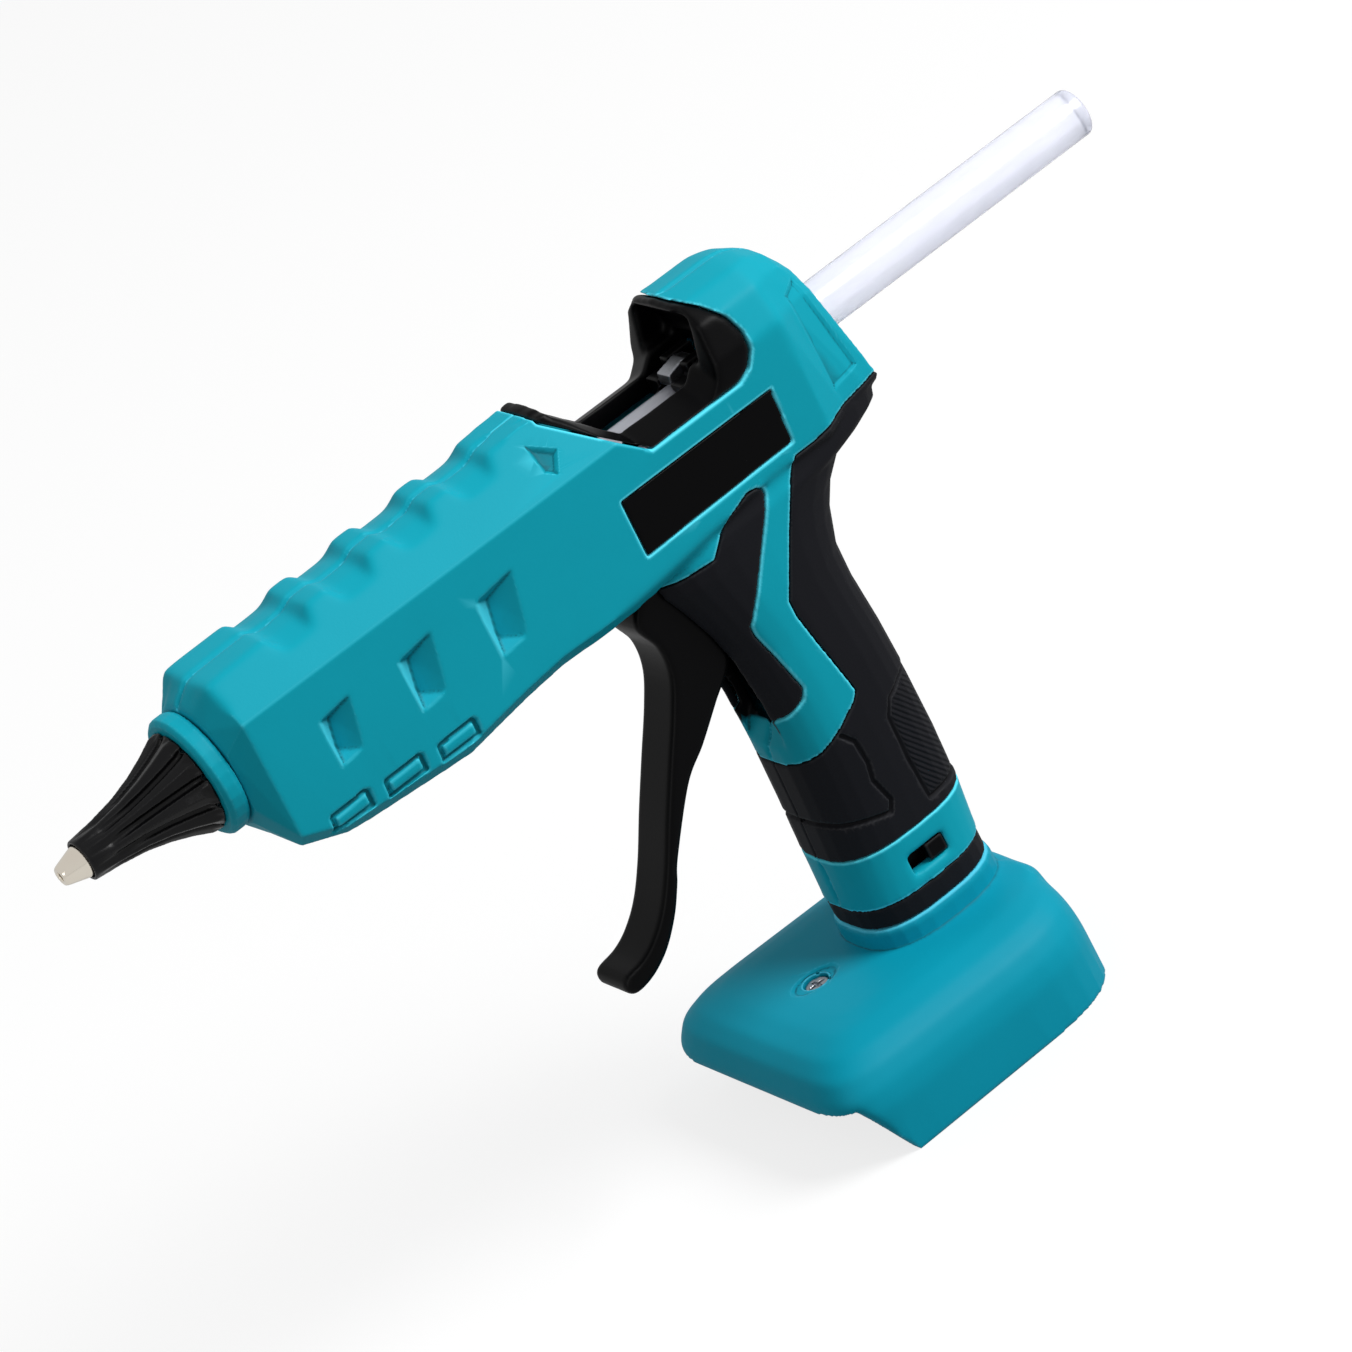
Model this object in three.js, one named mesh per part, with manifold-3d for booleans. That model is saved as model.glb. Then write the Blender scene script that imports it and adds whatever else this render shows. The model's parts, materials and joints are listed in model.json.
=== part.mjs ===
// Cordless glue gun with a slide-battery base, built in millimetres.
// X runs from the nozzle (negative) to the tail, -Y is the gun's left side, Z is up.
// Shapes are drawn in the gun's own frame: the origin is where the barrel axis crosses the handle axis.
// The last group stands the base on z = 0 and centres the length on x = 0.
import * as THREE from 'three';
import { mergeVertices } from 'three/addons/utils/BufferGeometryUtils.js';
import Module from 'manifold-3d';

const wasm = await Module();
wasm.setup();

// Driving dimensions
const stickRadius = 5.6;
const stickLength = 200;
const barrelSpan = 100;
const barrelHalf = 17.5;
const gripSpan = 100;
const gripHalf = 15.6;
const shoeLength = 76.5;
const shoeHalf = 38;
const shoeHeight = 25.4;
const neckBand = 5;
const neckRise = 5.6;

// Walls, skins and clearances
const wall = 2.8;
const gripWall = 3.9;
const skinDepth = 1.6;
const badgeDepth = 0.7;
const seam = 0.3;
const halfSeam = 0.15;
const overrun = 1;
const farSide = 60;
const farEnd = 240;
const runningGap = 0.6;

// Sheet of facet counts
const roundSteps = 28;
const smallSteps = 14;
const ringSteps = 32;

// Heights of the handle's lower end, from the barrel axis down
const gripEnd = -1.03 * gripSpan;
const collarEnd = -1.155 * gripSpan;
const bandEnd = collarEnd - neckBand;
const roofLevel = bandEnd - neckRise;
const floorLevel = roofLevel - shoeHeight;

// Finishes
const finishes = {
  tealShell: { color: 0x1093a7, roughness: 0.45, metalness: 0 },
  tealBase: { color: 0x0b87a0, roughness: 0.45, metalness: 0 },
  blackGrip: { color: 0x1a1b1f, roughness: 0.8, metalness: 0 },
  blackPlastic: { color: 0x141417, roughness: 0.5, metalness: 0 },
  glossPlate: { color: 0x08080a, roughness: 0.25, metalness: 0 },
  silicone: { color: 0x17161a, roughness: 0.6, metalness: 0 },
  heatSilicone: { color: 0xb8471f, roughness: 0.7, metalness: 0 },
  brass: { color: 0xc9a562, roughness: 0.3, metalness: 1 },
  aluminium: { color: 0xb9bcc1, roughness: 0.4, metalness: 1 },
  steel: { color: 0x9a9da3, roughness: 0.35, metalness: 1 },
  ceramic: { color: 0xd8d4c8, roughness: 0.6, metalness: 0 },
  board: { color: 0x1f6b3a, roughness: 0.5, metalness: 0 },
  redLead: { color: 0xb01e1e, roughness: 0.5, metalness: 0 },
  blackLead: { color: 0x161616, roughness: 0.5, metalness: 0 },
  clearGlue: { color: 0xdfe6f4, roughness: 0.2, metalness: 0 },
};

// Solid helpers
function solid(geometry) {
  const bare = geometry.index ? geometry.toNonIndexed() : geometry.clone();
  for (const name of Object.keys(bare.attributes)) {
    if (name !== 'position') bare.deleteAttribute(name);
  }
  const merged = mergeVertices(bare);
  const vertProperties = new Float32Array(merged.attributes.position.array);
  const triVerts = new Uint32Array(merged.index.array);
  if (signedVolume(vertProperties, triVerts) < 0) triVerts.reverse();
  const mesh = new wasm.Mesh({ numProp: 3, vertProperties, triVerts });
  mesh.merge();
  return new wasm.Manifold(mesh);
}

function signedVolume(vertices, triangles) {
  const [a, b, c] = [new THREE.Vector3(), new THREE.Vector3(), new THREE.Vector3()];
  let volume = 0;
  for (let i = 0; i < triangles.length; i += 3) {
    a.fromArray(vertices, 3 * triangles[i]);
    b.fromArray(vertices, 3 * triangles[i + 1]);
    c.fromArray(vertices, 3 * triangles[i + 2]);
    volume += a.dot(b.cross(c)) / 6;
  }
  return volume;
}

function surface(body) {
  const mesh = body.getMesh();
  const geometry = new THREE.BufferGeometry();
  geometry.setAttribute('position', new THREE.BufferAttribute(new Float32Array(mesh.vertProperties), 3));
  geometry.setIndex(new THREE.BufferAttribute(new Uint32Array(mesh.triVerts), 1));
  geometry.computeVertexNormals();
  return geometry;
}

function join(first, ...others) {
  return others.reduce((sum, other) => sum.add(other), first);
}

function cut(first, ...others) {
  return others.reduce((rest, other) => rest.subtract(other), first);
}

// The main body of a cut solid, without slivers of no volume
function largest(body) {
  return body.decompose().sort((a, b) => b.volume() - a.volume())[0];
}

// Closed skin through rings of equal count, with a fan over each end
function loft(rings) {
  const count = rings[0].length;
  const points = rings.flat();
  const index = [];
  for (let row = 0; row + 1 < rings.length; row += 1) {
    for (let i = 0; i < count; i += 1) {
      const here = row * count + i;
      const next = row * count + ((i + 1) % count);
      index.push(here, next, here + count, next, next + count, here + count);
    }
  }
  const ends = [0, (rings.length - 1) * count];
  ends.forEach((start, side) => {
    const middle = new THREE.Vector3();
    for (let i = 0; i < count; i += 1) middle.addScaledVector(points[start + i], 1 / count);
    points.push(middle);
    const hub = points.length - 1;
    for (let i = 0; i < count; i += 1) {
      const here = start + i;
      const next = start + ((i + 1) % count);
      index.push(hub, side ? here : next, side ? next : here);
    }
  });
  const geometry = new THREE.BufferGeometry().setFromPoints(points);
  geometry.setIndex(index);
  return solid(geometry);
}

// Moves every edge of a closed outline inwards by the same distance
function inset(outline, distance) {
  const area = THREE.ShapeUtils.area(outline);
  const turn = area > 0 ? 1 : -1;
  const count = outline.length;
  return outline.map((point, i) => {
    const before = point.clone().sub(outline[(i + count - 1) % count]).normalize();
    const after = outline[(i + 1) % count].clone().sub(point).normalize();
    const first = new THREE.Vector2(-before.y, before.x).multiplyScalar(turn);
    const second = new THREE.Vector2(-after.y, after.x).multiplyScalar(turn);
    const share = distance / (1 + first.dot(second));
    return point.clone().addScaledVector(first.add(second), share);
  });
}

// Table of shares to points, each share times the size that it follows
function drawn(shares, width, height = width) {
  return shares.map(([across, up]) => new THREE.Vector2(across * width, up * height));
}

// Extrusions of a flat outline; XZ outlines run along Y, YZ along X and XY along Z
function alongY(outline, from, to) {
  const shape = new THREE.Shape(outline);
  const geometry = new THREE.ExtrudeGeometry(shape, { depth: to - from, bevelEnabled: false });
  geometry.rotateX(Math.PI / 2);
  geometry.translate(0, to, 0);
  return solid(geometry);
}

function alongX(outline, from, to) {
  const shape = new THREE.Shape(outline);
  const geometry = new THREE.ExtrudeGeometry(shape, { depth: to - from, bevelEnabled: false });
  geometry.rotateX(Math.PI / 2);
  geometry.rotateZ(Math.PI / 2);
  geometry.translate(from, 0, 0);
  return solid(geometry);
}

function block(x0, x1, y0, y1, z0, z1) {
  const geometry = new THREE.BoxGeometry(x1 - x0, y1 - y0, z1 - z0);
  geometry.translate((x0 + x1) / 2, (y0 + y1) / 2, (z0 + z1) / 2);
  return solid(geometry);
}

// Revolved solid about X from [x, radius] points, on an axis at height z
function turnedX(profile, steps = roundSteps, z = 0) {
  const points = profile.map(([x, radius]) => new THREE.Vector2(radius, x));
  const geometry = new THREE.LatheGeometry(points, steps);
  geometry.rotateZ(-Math.PI / 2);
  geometry.translate(0, 0, z);
  return solid(geometry);
}

function tubeX(inner, outer, from, to, steps = roundSteps) {
  return turnedX([[from, inner], [from, outer], [to, outer], [to, inner], [from, inner]], steps);
}

function rodX(radius, from, to, steps = roundSteps, z = 0) {
  return turnedX([[from, 0], [from, radius], [to, radius], [to, 0]], steps, z);
}

// Rod along Y through the XZ place given
function rodY(x, z, radius, from, to, steps = smallSteps) {
  const geometry = new THREE.CylinderGeometry(radius, radius, to - from, steps);
  geometry.translate(x, (from + to) / 2, z);
  return solid(geometry);
}

function rodZ(x, y, radius, from, to, steps = smallSteps) {
  const geometry = new THREE.CylinderGeometry(radius, radius, to - from, steps);
  geometry.rotateX(Math.PI / 2);
  geometry.translate(x, y, (from + to) / 2);
  return solid(geometry);
}

// Straight-line reading of a table of [place, value] rows
function along(table, place) {
  const last = table.length - 1;
  if (place <= table[0][0]) return table[0][1];
  if (place >= table[last][0]) return table[last][1];
  const row = table.findIndex((entry) => entry[0] > place);
  const [x0, v0] = table[row - 1];
  const [x1, v1] = table[row];
  return v0 + ((v1 - v0) * (place - x0)) / (x1 - x0);
}

// Barrel: five-sided faceted tube whose flat top carries four cross grooves
const noseX = -1.188 * barrelSpan;
const noseStep = 4.6;
const noseRadius = 14.6;
const noseAngles = [90, 68, 48, 22, -35, -62, -90];
const shoulderX = -1.12 * barrelSpan;
const shoulderLean = 0.13;
const facetEnd = -0.33 * barrelSpan;
const landStart = 1.05 * barrelHalf;
const landRiseShare = 0.036;
const ridgeLevel = 0.6 * barrelHalf;
const grooveCount = 4;
const groovePitch = 0.167 * barrelSpan;
const grooveStart = 0.155 * barrelSpan;
const grooveShares = [0, 0.12, 0.54, 0.69];
const grooveDepth = 1.4;
const grooveEdgeDepth = 3.6;
const bellyCorner = 3;
const bellySideShare = 0.9;
const bellyShares = [
  [-1.188, -1.18], [-1.12, -1.4], [-0.78, -1.56], [-0.62, -1.43], [-0.5, -1.37],
  [-0.36, -1.42], [0.06, -1.2],
];

function ringX(x, lean, half, distance) {
  const otherHalf = half.slice(1, -1).reverse().map((point) => new THREE.Vector2(-point.x, point.y));
  const closed = [...half, ...otherHalf];
  const moved = distance ? inset(closed, distance) : closed;
  return moved.map((point) => new THREE.Vector3(x - lean * point.y, point.x, point.y));
}

function barrelRing(x, deep, distance, place = x, lean = 0) {
  const land = landStart + (x - noseX) * landRiseShare;
  const edge = land - (deep ? grooveEdgeDepth : 0);
  const top = land - (deep ? grooveDepth : 0);
  const edgeHalf = barrelHalf - (edge - ridgeLevel);
  const belly = along(bellyShares, x / barrelSpan) * barrelHalf;
  const bellyHalf = bellySideShare * barrelHalf;
  return ringX(place, lean, [
    new THREE.Vector2(0, top),
    new THREE.Vector2(edgeHalf / 2, top - (top - edge) / 4),
    new THREE.Vector2(edgeHalf, edge),
    new THREE.Vector2(barrelHalf, ridgeLevel),
    new THREE.Vector2(bellyHalf, belly + bellyCorner),
    new THREE.Vector2(bellyHalf - bellyCorner, belly),
    new THREE.Vector2(0, belly),
  ], distance);
}

function noseRing(distance) {
  const angles = noseAngles.map((angle) => THREE.MathUtils.degToRad(angle));
  const half = angles.map((angle) => (
    new THREE.Vector2(noseRadius * Math.cos(angle), noseRadius * Math.sin(angle))
  ));
  half[0].x = 0;
  half[half.length - 1].x = 0;
  return ringX(noseX - noseStep + distance, 0, half, distance);
}

// Rear cap: an arch that narrows to the leaning rear face
const capShares = [
  {
    xShare: 0.06,
    lean: 0,
    archShares: [[0, 1.37], [0.52, 1.3], [0.82, 1.07], [1, 0.6], [0.9, -1.0], [0.74, -1.2], [0, -1.2]],
  },
  {
    xShare: 0.245,
    lean: 0,
    archShares: [[0, 1.37], [0.52, 1.3], [0.82, 1.07], [1, 0.6], [0.91, -0.99], [0.74, -1.16], [0, -1.16]],
  },
  {
    xShare: 0.3,
    lean: 0.07,
    archShares: [[0, 1.33], [0.42, 1.27], [0.66, 1.06], [0.8, 0.58], [0.73, -0.98], [0.6, -1.12], [0, -1.12]],
  },
  {
    xShare: 0.36,
    lean: 0.15,
    archShares: [
      [0, 1.16], [0.32, 1.12], [0.52, 0.96], [0.65, 0.53], [0.61, -0.96], [0.48, -1.08], [0, -1.08],
    ],
  },
  {
    xShare: 0.393,
    lean: 0.21,
    archShares: [[0, 0.9], [0.27, 0.87], [0.43, 0.77], [0.54, 0.45], [0.52, -0.94], [0.4, -1.04], [0, -1.04]],
  },
];

function capRing(row, distance) {
  const last = row === capShares[capShares.length - 1];
  const x = row.xShare * barrelSpan - (last ? distance : 0);
  return ringX(x, row.lean, drawn(row.archShares, barrelHalf), distance);
}

function barrelBody(distance) {
  const rings = [noseRing(distance), barrelRing(noseX, false, distance, noseX + distance / 2)];
  rings.push(barrelRing(shoulderX, false, distance, shoulderX, shoulderLean));
  for (let groove = 0; groove < grooveCount; groove += 1) {
    const start = noseX + grooveStart + groove * groovePitch;
    grooveShares.forEach((share, i) => {
      rings.push(barrelRing(start + share * groovePitch, i === 1 || i === 2, distance));
    });
  }
  rings.push(barrelRing(facetEnd, false, distance));
  capShares.forEach((row) => rings.push(capRing(row, distance)));
  return loft(rings);
}

// Handle: oval sections from inside the barrel down to the collar
const gripPower = 2.7;
const gripShares = [
  [-0.06, -0.23, 0.3, 0.98], [-0.14, -0.24, 0.40, 0.96], [-0.175, -0.245, 0.435, 0.95],
  [-0.205, -0.25, 0.425, 0.97], [-0.225, -0.25, 0.37, 1], [-0.243, -0.25, 0.3, 1],
  [-0.29, -0.24, 0.247, 1], [-0.342, -0.215, 0.213, 1], [-0.42, -0.185, 0.185, 1],
  [-0.5, -0.165, 0.182, 1], [-0.62, -0.153, 0.19, 1.01], [-0.76, -0.152, 0.194, 1.01],
  [-0.9, -0.158, 0.194, 1], [-1.03, -0.166, 0.188, 0.99], [-1.155, -0.172, 0.174, 0.98],
];

function ovalRing(front, rear, half, z, distance, power = gripPower, steps = roundSteps) {
  const middle = (front + rear) / 2;
  const depth = (rear - front) / 2 - distance;
  const width = half - distance;
  const ring = [];
  for (let i = 0; i < steps; i += 1) {
    const angle = (i / steps) * Math.PI * 2;
    const [c, s] = [Math.cos(angle), Math.sin(angle)];
    const x = Math.sign(c) * Math.abs(c) ** (2 / power) * depth;
    const y = Math.sign(s) * Math.abs(s) ** (2 / power) * width;
    ring.push(new THREE.Vector3(middle + x, y, z));
  }
  return ring;
}

function gripRing([level, front, rear, half], distance, z = level * gripSpan) {
  return ovalRing(front * gripSpan, rear * gripSpan, half * gripHalf, z, distance);
}

const collarShare = gripShares[gripShares.length - 1];

// How far an inward offset also lifts each level, where the tail's underside faces down
const liftShares = [[-0.4, 0], [-0.29, 0.5], [-0.243, 0.9], [-0.205, 0.9], [-0.175, 0.4], [-0.14, 0]];

function gripBody(distance) {
  return loft(gripShares.map((row) => {
    const lift = distance * along(liftShares, row[0]);
    return gripRing(row, distance, row[0] * gripSpan + lift);
  }));
}

// Neck tube and foot flange below the collar, which hold the base
const neckInset = 2.6;
const footHeight = 2.6;
const roofThickness = 3;
const footTop = roofLevel - roofThickness - 3 * seam;
const footEnd = footTop - footHeight;
const footProud = -0.8;

function neckTube(distance) {
  return loft([
    gripRing(collarShare, neckInset + distance, collarEnd + overrun),
    gripRing(collarShare, neckInset + distance, footEnd - (distance ? overrun : 0)),
  ]);
}

function foot() {
  return loft([gripRing(collarShare, footProud, footTop), gripRing(collarShare, footProud, footEnd)]);
}

function bodyForm(distance, gripDistance = distance) {
  return join(barrelBody(distance), gripBody(gripDistance));
}

const outerForm = bodyForm(0);
const innerForm = join(bodyForm(wall, gripWall), neckTube(wall), loft([
  gripRing(collarShare, neckInset + wall, collarEnd + neckBand),
  gripRing(collarShare, neckInset + wall, collarEnd - overrun),
]));

const ribForm = bodyForm(wall / 2, gripWall / 2);

// Layer of the outer skin between two depths, inside an XZ outline
function layer(outline, near, far) {
  const band = near ? bodyForm(near) : outerForm;
  return band.subtract(bodyForm(far)).intersect(alongY(outline, -farSide, farSide));
}

// Everything of an outline that lies outside the body's surface moved in by a depth
function recess(outline, depth) {
  return alongY(outline, -farSide, farSide).subtract(bodyForm(depth));
}

const leftRoom = block(-farEnd, farEnd, -farSide, -halfSeam, -farEnd, farSide);
const rightRoom = block(-farEnd, farEnd, halfSeam, farSide, -farEnd, farSide);

// Top window and its saddle-shaped bezel
const windowShares = [
  [-0.33, 2.286], [-0.295, 1.143], [-0.135, 0.24], [0.105, 0.24], [0.14, 0.331], [0.162, 0.514],
  [0.168, 0.743], [0.158, 0.971], [0.13, 1.2], [0.1, 1.343], [0.09, 2.286],
];
const windowOutline = drawn(windowShares, barrelSpan, barrelHalf);
const hoodShares = [
  [-0.27, 2.286], [-0.264, 1.143], [-0.17, 0.583], [0.03, 0.583], [0.075, 0.617], [0.128, 0.64],
  [0.142, 0.771], [0.134, 0.926], [0.112, 1.086], [0.078, 1.286], [0.068, 2.286],
];
const rimShares = [
  [-0.34, 1.657], [-0.264, 1.166], [-0.17, 0.594], [-0.146, 0.451], [0.03, 0.451], [0.062, 0.629],
  [0.085, 1.143], [0.095, 1.714],
];
const rimHalf = 8;
const hoodHalf = 11;
const rimTop = 2.6 * barrelHalf;
const troughTop = 0.7 * barrelHalf;
const flankFallShare = 0.37;
const skirtThickness = 1.2;
const skirtFoot = 2.9;
const skirtTop = 5.5;
const troughFront = -0.215 * barrelSpan;
const troughRear = 0.15 * barrelSpan;

function bezelForm() {
  const blank = outerForm.intersect(alongY(inset(windowOutline, seam), -farSide, farSide));
  const hood = alongY(drawn(hoodShares, barrelSpan, barrelHalf), -hoodHalf, hoodHalf);
  const skies = [-1, 1].map((side) => loft(rimShares.map(([x, z]) => {
    const reach = 2 * rimHalf;
    const rim = z * barrelHalf;
    return [
      [side * rimHalf, rim], [side * (rimHalf + reach), rim - flankFallShare * reach],
      [side * (rimHalf + reach), rimTop], [side * rimHalf, rimTop],
    ].map(([y, level]) => new THREE.Vector3(x * barrelSpan, y, level));
  })));
  const trough = block(troughFront, troughRear, -rimHalf, rimHalf, -overrun, troughTop);
  const skirts = [-rimHalf - skirtThickness, rimHalf].map((from) => block(
    troughFront + skirtThickness, troughRear - skirtThickness,
    from, from + skirtThickness, skirtFoot, skirtTop,
  ));
  return join(cut(blank, hood, trough, ...skies), ...skirts);
}

// Black overmould outlines on the handle's sides, and the badge place
const insertShares = [
  [0.01, -0.169], [0.035, -0.172], [0.053, -0.186], [0.052, -0.202], [0.019, -0.25], [-0.025, -0.309],
  [-0.08, -0.387], [-0.109, -0.429], [-0.108, -0.454], [-0.09, -0.524], [-0.071, -0.611],
  [-0.082, -0.636], [-0.116, -0.658], [-0.16, -0.672], [-0.3, -0.672], [-0.3, -0.262], [-0.2, -0.257],
  [-0.116, -0.251], [-0.077, -0.214], [-0.041, -0.188],
];
const rearGripShares = [
  [0.146, -0.168], [0.107, -0.22], [0.057, -0.302], [-0.015, -0.427], [-0.015, -0.467], [0.002, -0.564],
  [0.021, -0.664], [0.024, -0.685], [0.01, -0.702], [-0.045, -0.736], [-0.097, -0.765], [-0.149, -0.78],
  [-0.3, -0.78], [-0.3, -1.03], [0.6, -1.03], [0.6, -0.155], [0.3, -0.155], [0.2, -0.168],
];
const badgeShares = [[-0.25, -0.04], [-0.25, -0.846], [0.155, -0.8], [0.163, -0.04]];
const insertOutline = drawn(insertShares, gripSpan);
const rearGripOutline = drawn(rearGripShares, gripSpan);
const badgeOutline = drawn(badgeShares, barrelSpan, barrelHalf);

// Trigger pivot, lever outline and swing
const pivotX = -0.14 * gripSpan;
const pivotZ = -0.23 * gripSpan;
const hubRadius = 4.2;
const pinRadius = 2;
const leverHalf = 6.6;
const armInner = 7.6;
const armOuter = 9.6;
const swing = THREE.MathUtils.degToRad(22);
const studZ = -3;
const armHeight = studZ - pivotZ;
const studRadius = 1.8;
const studX = pivotX + armHeight * Math.tan(swing / 2);
const armHalfWidth = 4;
const armTopReach = 4.5;
const leverShares = [
  [-0.19, -0.185], [-0.25, -0.235], [-0.305, -0.305], [-0.283, -0.38], [-0.29, -0.447],
  [-0.326, -0.517], [-0.386, -0.609], [-0.446, -0.702], [-0.504, -0.796], [-0.553, -0.862],
  [-0.6, -0.904], [-0.643, -0.926], [-0.69, -0.935], [-0.705, -0.95], [-0.702, -0.972], [-0.68, -0.982],
  [-0.632, -0.972], [-0.58, -0.942], [-0.53, -0.892], [-0.492, -0.838], [-0.462, -0.788],
  [-0.364, -0.668], [-0.295, -0.617], [-0.225, -0.558], [-0.155, -0.498], [-0.135, -0.42],
  [-0.125, -0.3], [-0.12, -0.22],
];
const leverSlotShares = [
  [-0.285, -0.18], [-0.09, -0.18], [-0.03, -0.42], [-0.03, -0.55], [-0.07, -0.62], [-0.135, -0.73],
  [-0.3, -0.82], [-0.4, -0.82], [-0.4, -0.35], [-0.285, -0.25],
];
const leverBevel = 1.2;
const leverPocketShares = [
  [-0.282, -0.49], [-0.325, -0.56], [-0.366, -0.625], [-0.415, -0.7], [-0.34, -0.72], [-0.2, -0.6],
  [-0.05, -0.5], [-0.16, -0.44],
];
const leverWall = 2.2;

function triggerForm() {
  const flat = new THREE.Shape(inset(drawn(leverShares, gripSpan), leverBevel));
  const plate = new THREE.ExtrudeGeometry(flat, {
    depth: 2 * (leverHalf - leverBevel), bevelThickness: leverBevel, bevelSize: leverBevel, bevelSegments: 2,
  });
  plate.rotateX(Math.PI / 2);
  plate.translate(0, leverHalf - leverBevel, 0);
  const pocket = alongY(drawn(leverPocketShares, gripSpan), leverWall - leverHalf, leverHalf - leverWall);
  const hub = rodY(pivotX, pivotZ, hubRadius, -armOuter, armOuter, roundSteps);
  const lean = swing / 2;
  const outward = new THREE.Vector2(Math.sin(lean), Math.cos(lean));
  const across = new THREE.Vector2(outward.y, -outward.x);
  const tip = armHeight / Math.cos(lean) + armTopReach;
  const pivot = new THREE.Vector2(pivotX, pivotZ);
  const at = (run, side) => pivot.clone().addScaledVector(outward, run).addScaledVector(across, side);
  const slotHalf = studRadius + seam;
  const slotFoot = armHeight - slotHalf - overrun;
  const arm = [at(0, -armHalfWidth), at(0, armHalfWidth), at(tip, armHalfWidth), at(tip, -armHalfWidth)];
  const slotTip = tip + overrun;
  const slot = [
    at(slotFoot, -slotHalf), at(slotFoot, slotHalf), at(slotTip, slotHalf), at(slotTip, -slotHalf),
  ];
  const arms = [[-armOuter, -armInner], [armInner, armOuter]].map(([from, to]) => cut(
    alongY(arm, from, to), alongY(slot, from - overrun, to + overrun),
  ));
  const bore = rodY(pivotX, pivotZ, pinRadius + seam, -farSide, farSide, roundSteps);
  return cut(join(cut(solid(plate), pocket), hub, ...arms), bore);
}

// Feed carriage: a cradle round the stick with studs for the trigger's arms
const carriageHalf = 7.2;
const carriageLow = -7.5;
const cradleTop = -0.5;
const headTop = 7.3;
const boreRadius = stickRadius + runningGap;
const cradleFront = -0.17 * barrelSpan;
const headFront = 0.026 * barrelSpan;
const carriageRear = 0.135 * barrelSpan;
const lugFront = -0.06 * barrelSpan;
const lugLength = 3.5;
const lugHalf = 4;
const springRadius = 3;
const springAxis = -12;
const springWire = 0.9;
const guideRadius = 1.5;
const guideLength = 9;
const pawlHalf = 2.4;
const pawlPinX = 0.092 * barrelSpan;
const pawlPinZ = 8.2;
const pawlPinRadius = 0.9;
const pawlPinHalf = 5.4;
const cheekRise = 2.6;

function carriageForm() {
  const cradle = block(cradleFront, carriageRear, -carriageHalf, carriageHalf, carriageLow, cradleTop);
  const head = block(headFront, carriageRear, -carriageHalf, carriageHalf, carriageLow, headTop);
  const cheeks = [[-pawlPinHalf, -pawlHalf - seam], [pawlHalf + seam, pawlPinHalf]].map(([from, to]) => block(
    pawlPinX - cheekRise, carriageRear, from, to, cradleTop, pawlPinZ + 2 * pawlPinRadius,
  ));
  const stud = rodY(studX, studZ, studRadius, -armOuter - seam, armOuter + seam);
  const lugFoot = springAxis - springRadius;
  const lug = block(lugFront, lugFront + lugLength, -lugHalf, lugHalf, lugFoot, carriageLow + overrun);
  const guideRod = rodX(guideRadius, lugFront - guideLength, lugFront + overrun, smallSteps, springAxis);
  const bore = rodX(boreRadius, cradleFront - overrun, carriageRear + overrun);
  const pawlRoom = pawlHalf + seam;
  const pawlSlot = block(headFront - overrun, carriageRear + overrun, -pawlRoom, pawlRoom, 0, farSide);
  const pinBore = rodY(pawlPinX, pawlPinZ, pawlPinRadius + seam, -farSide, farSide);
  return cut(join(cradle, head, ...cheeks, stud, lug, guideRod), bore, pawlSlot, pinBore);
}

// Gripper pawl, which leans on the stick from above
const pawlShares = [
  [0.108, 0.411], [0.108, 0.526], [0.085, 0.571], [0.034, 0.503],
  [0.029, 0.36], [0.042, 0.337], [0.072, 0.389],
];

function pawlForm() {
  const plate = alongY(drawn(pawlShares, barrelSpan, barrelHalf), -pawlHalf, pawlHalf);
  return cut(plate, rodY(pawlPinX, pawlPinZ, pawlPinRadius + seam, -farSide, farSide));
}

// Melt chamber, nozzle and the soft boot over it
const nozzleEnd = -1.616 * barrelSpan;
const frontWallInside = noseX - noseStep + wall;
const chamberFront = frontWallInside + seam;
const chamberRear = -0.78 * barrelSpan;
const chamberRadius = 10.2;
const chamberFlange = 11.4;
const flangeThickness = 4;
const chamberBossRadius = 3.6;
const chamberBossLength = 10.4;
const chamberTaperFront = -1.15 * barrelSpan;
const chamberTaperRear = -1.08 * barrelSpan;
const glueWay = 1.6;
const heaterFlat = -8;
const heaterFront = -1.12 * barrelSpan;
const heaterRear = -0.88 * barrelSpan;
const heaterHalf = 7;
const heaterHeight = 3.3;
const clipThickness = 0.8;
const clipFront = -1.04 * barrelSpan;
const clipRear = -0.96 * barrelSpan;
const sleeveRear = -0.52 * barrelSpan;
const sleeveRadius = 9;

function chamberForm() {
  const front = chamberFront - chamberBossLength;
  const form = turnedX([
    [front, glueWay], [front, chamberBossRadius],
    [chamberFront, chamberBossRadius], [chamberFront, chamberRadius],
    [chamberRear - flangeThickness, chamberRadius], [chamberRear - flangeThickness, chamberFlange],
    [chamberRear, chamberFlange], [chamberRear, boreRadius], [chamberTaperRear, boreRadius],
    [chamberTaperFront, glueWay], [front, glueWay],
  ]);
  const under = block(heaterFront - seam, heaterRear + seam, -farSide, farSide, -farSide, heaterFlat);
  return cut(form, under);
}

function clipForm() {
  const low = heaterFlat - seam - heaterHeight - seam;
  const shapes = [clipThickness, 0].map((grow, i) => join(
    rodX(chamberRadius + seam + grow, clipFront - i, clipRear + i),
    block(clipFront - i, clipRear + i, -heaterHalf - seam - grow, heaterHalf + seam + grow, low - grow, 0),
  ));
  return shapes[0].subtract(shapes[1]);
}

const tipRearRadius = 5.2;
const tipShoulder = -1.34 * barrelSpan;
const tipWaist = -1.5 * barrelSpan;
const tipWaistRadius = 3.7;
const tipBare = -1.564 * barrelSpan;
const tipBareRadius = 3.7;
const tipEndRadius = 2;
const tipChamfer = 0.7;
const outletRadius = 1;

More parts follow.
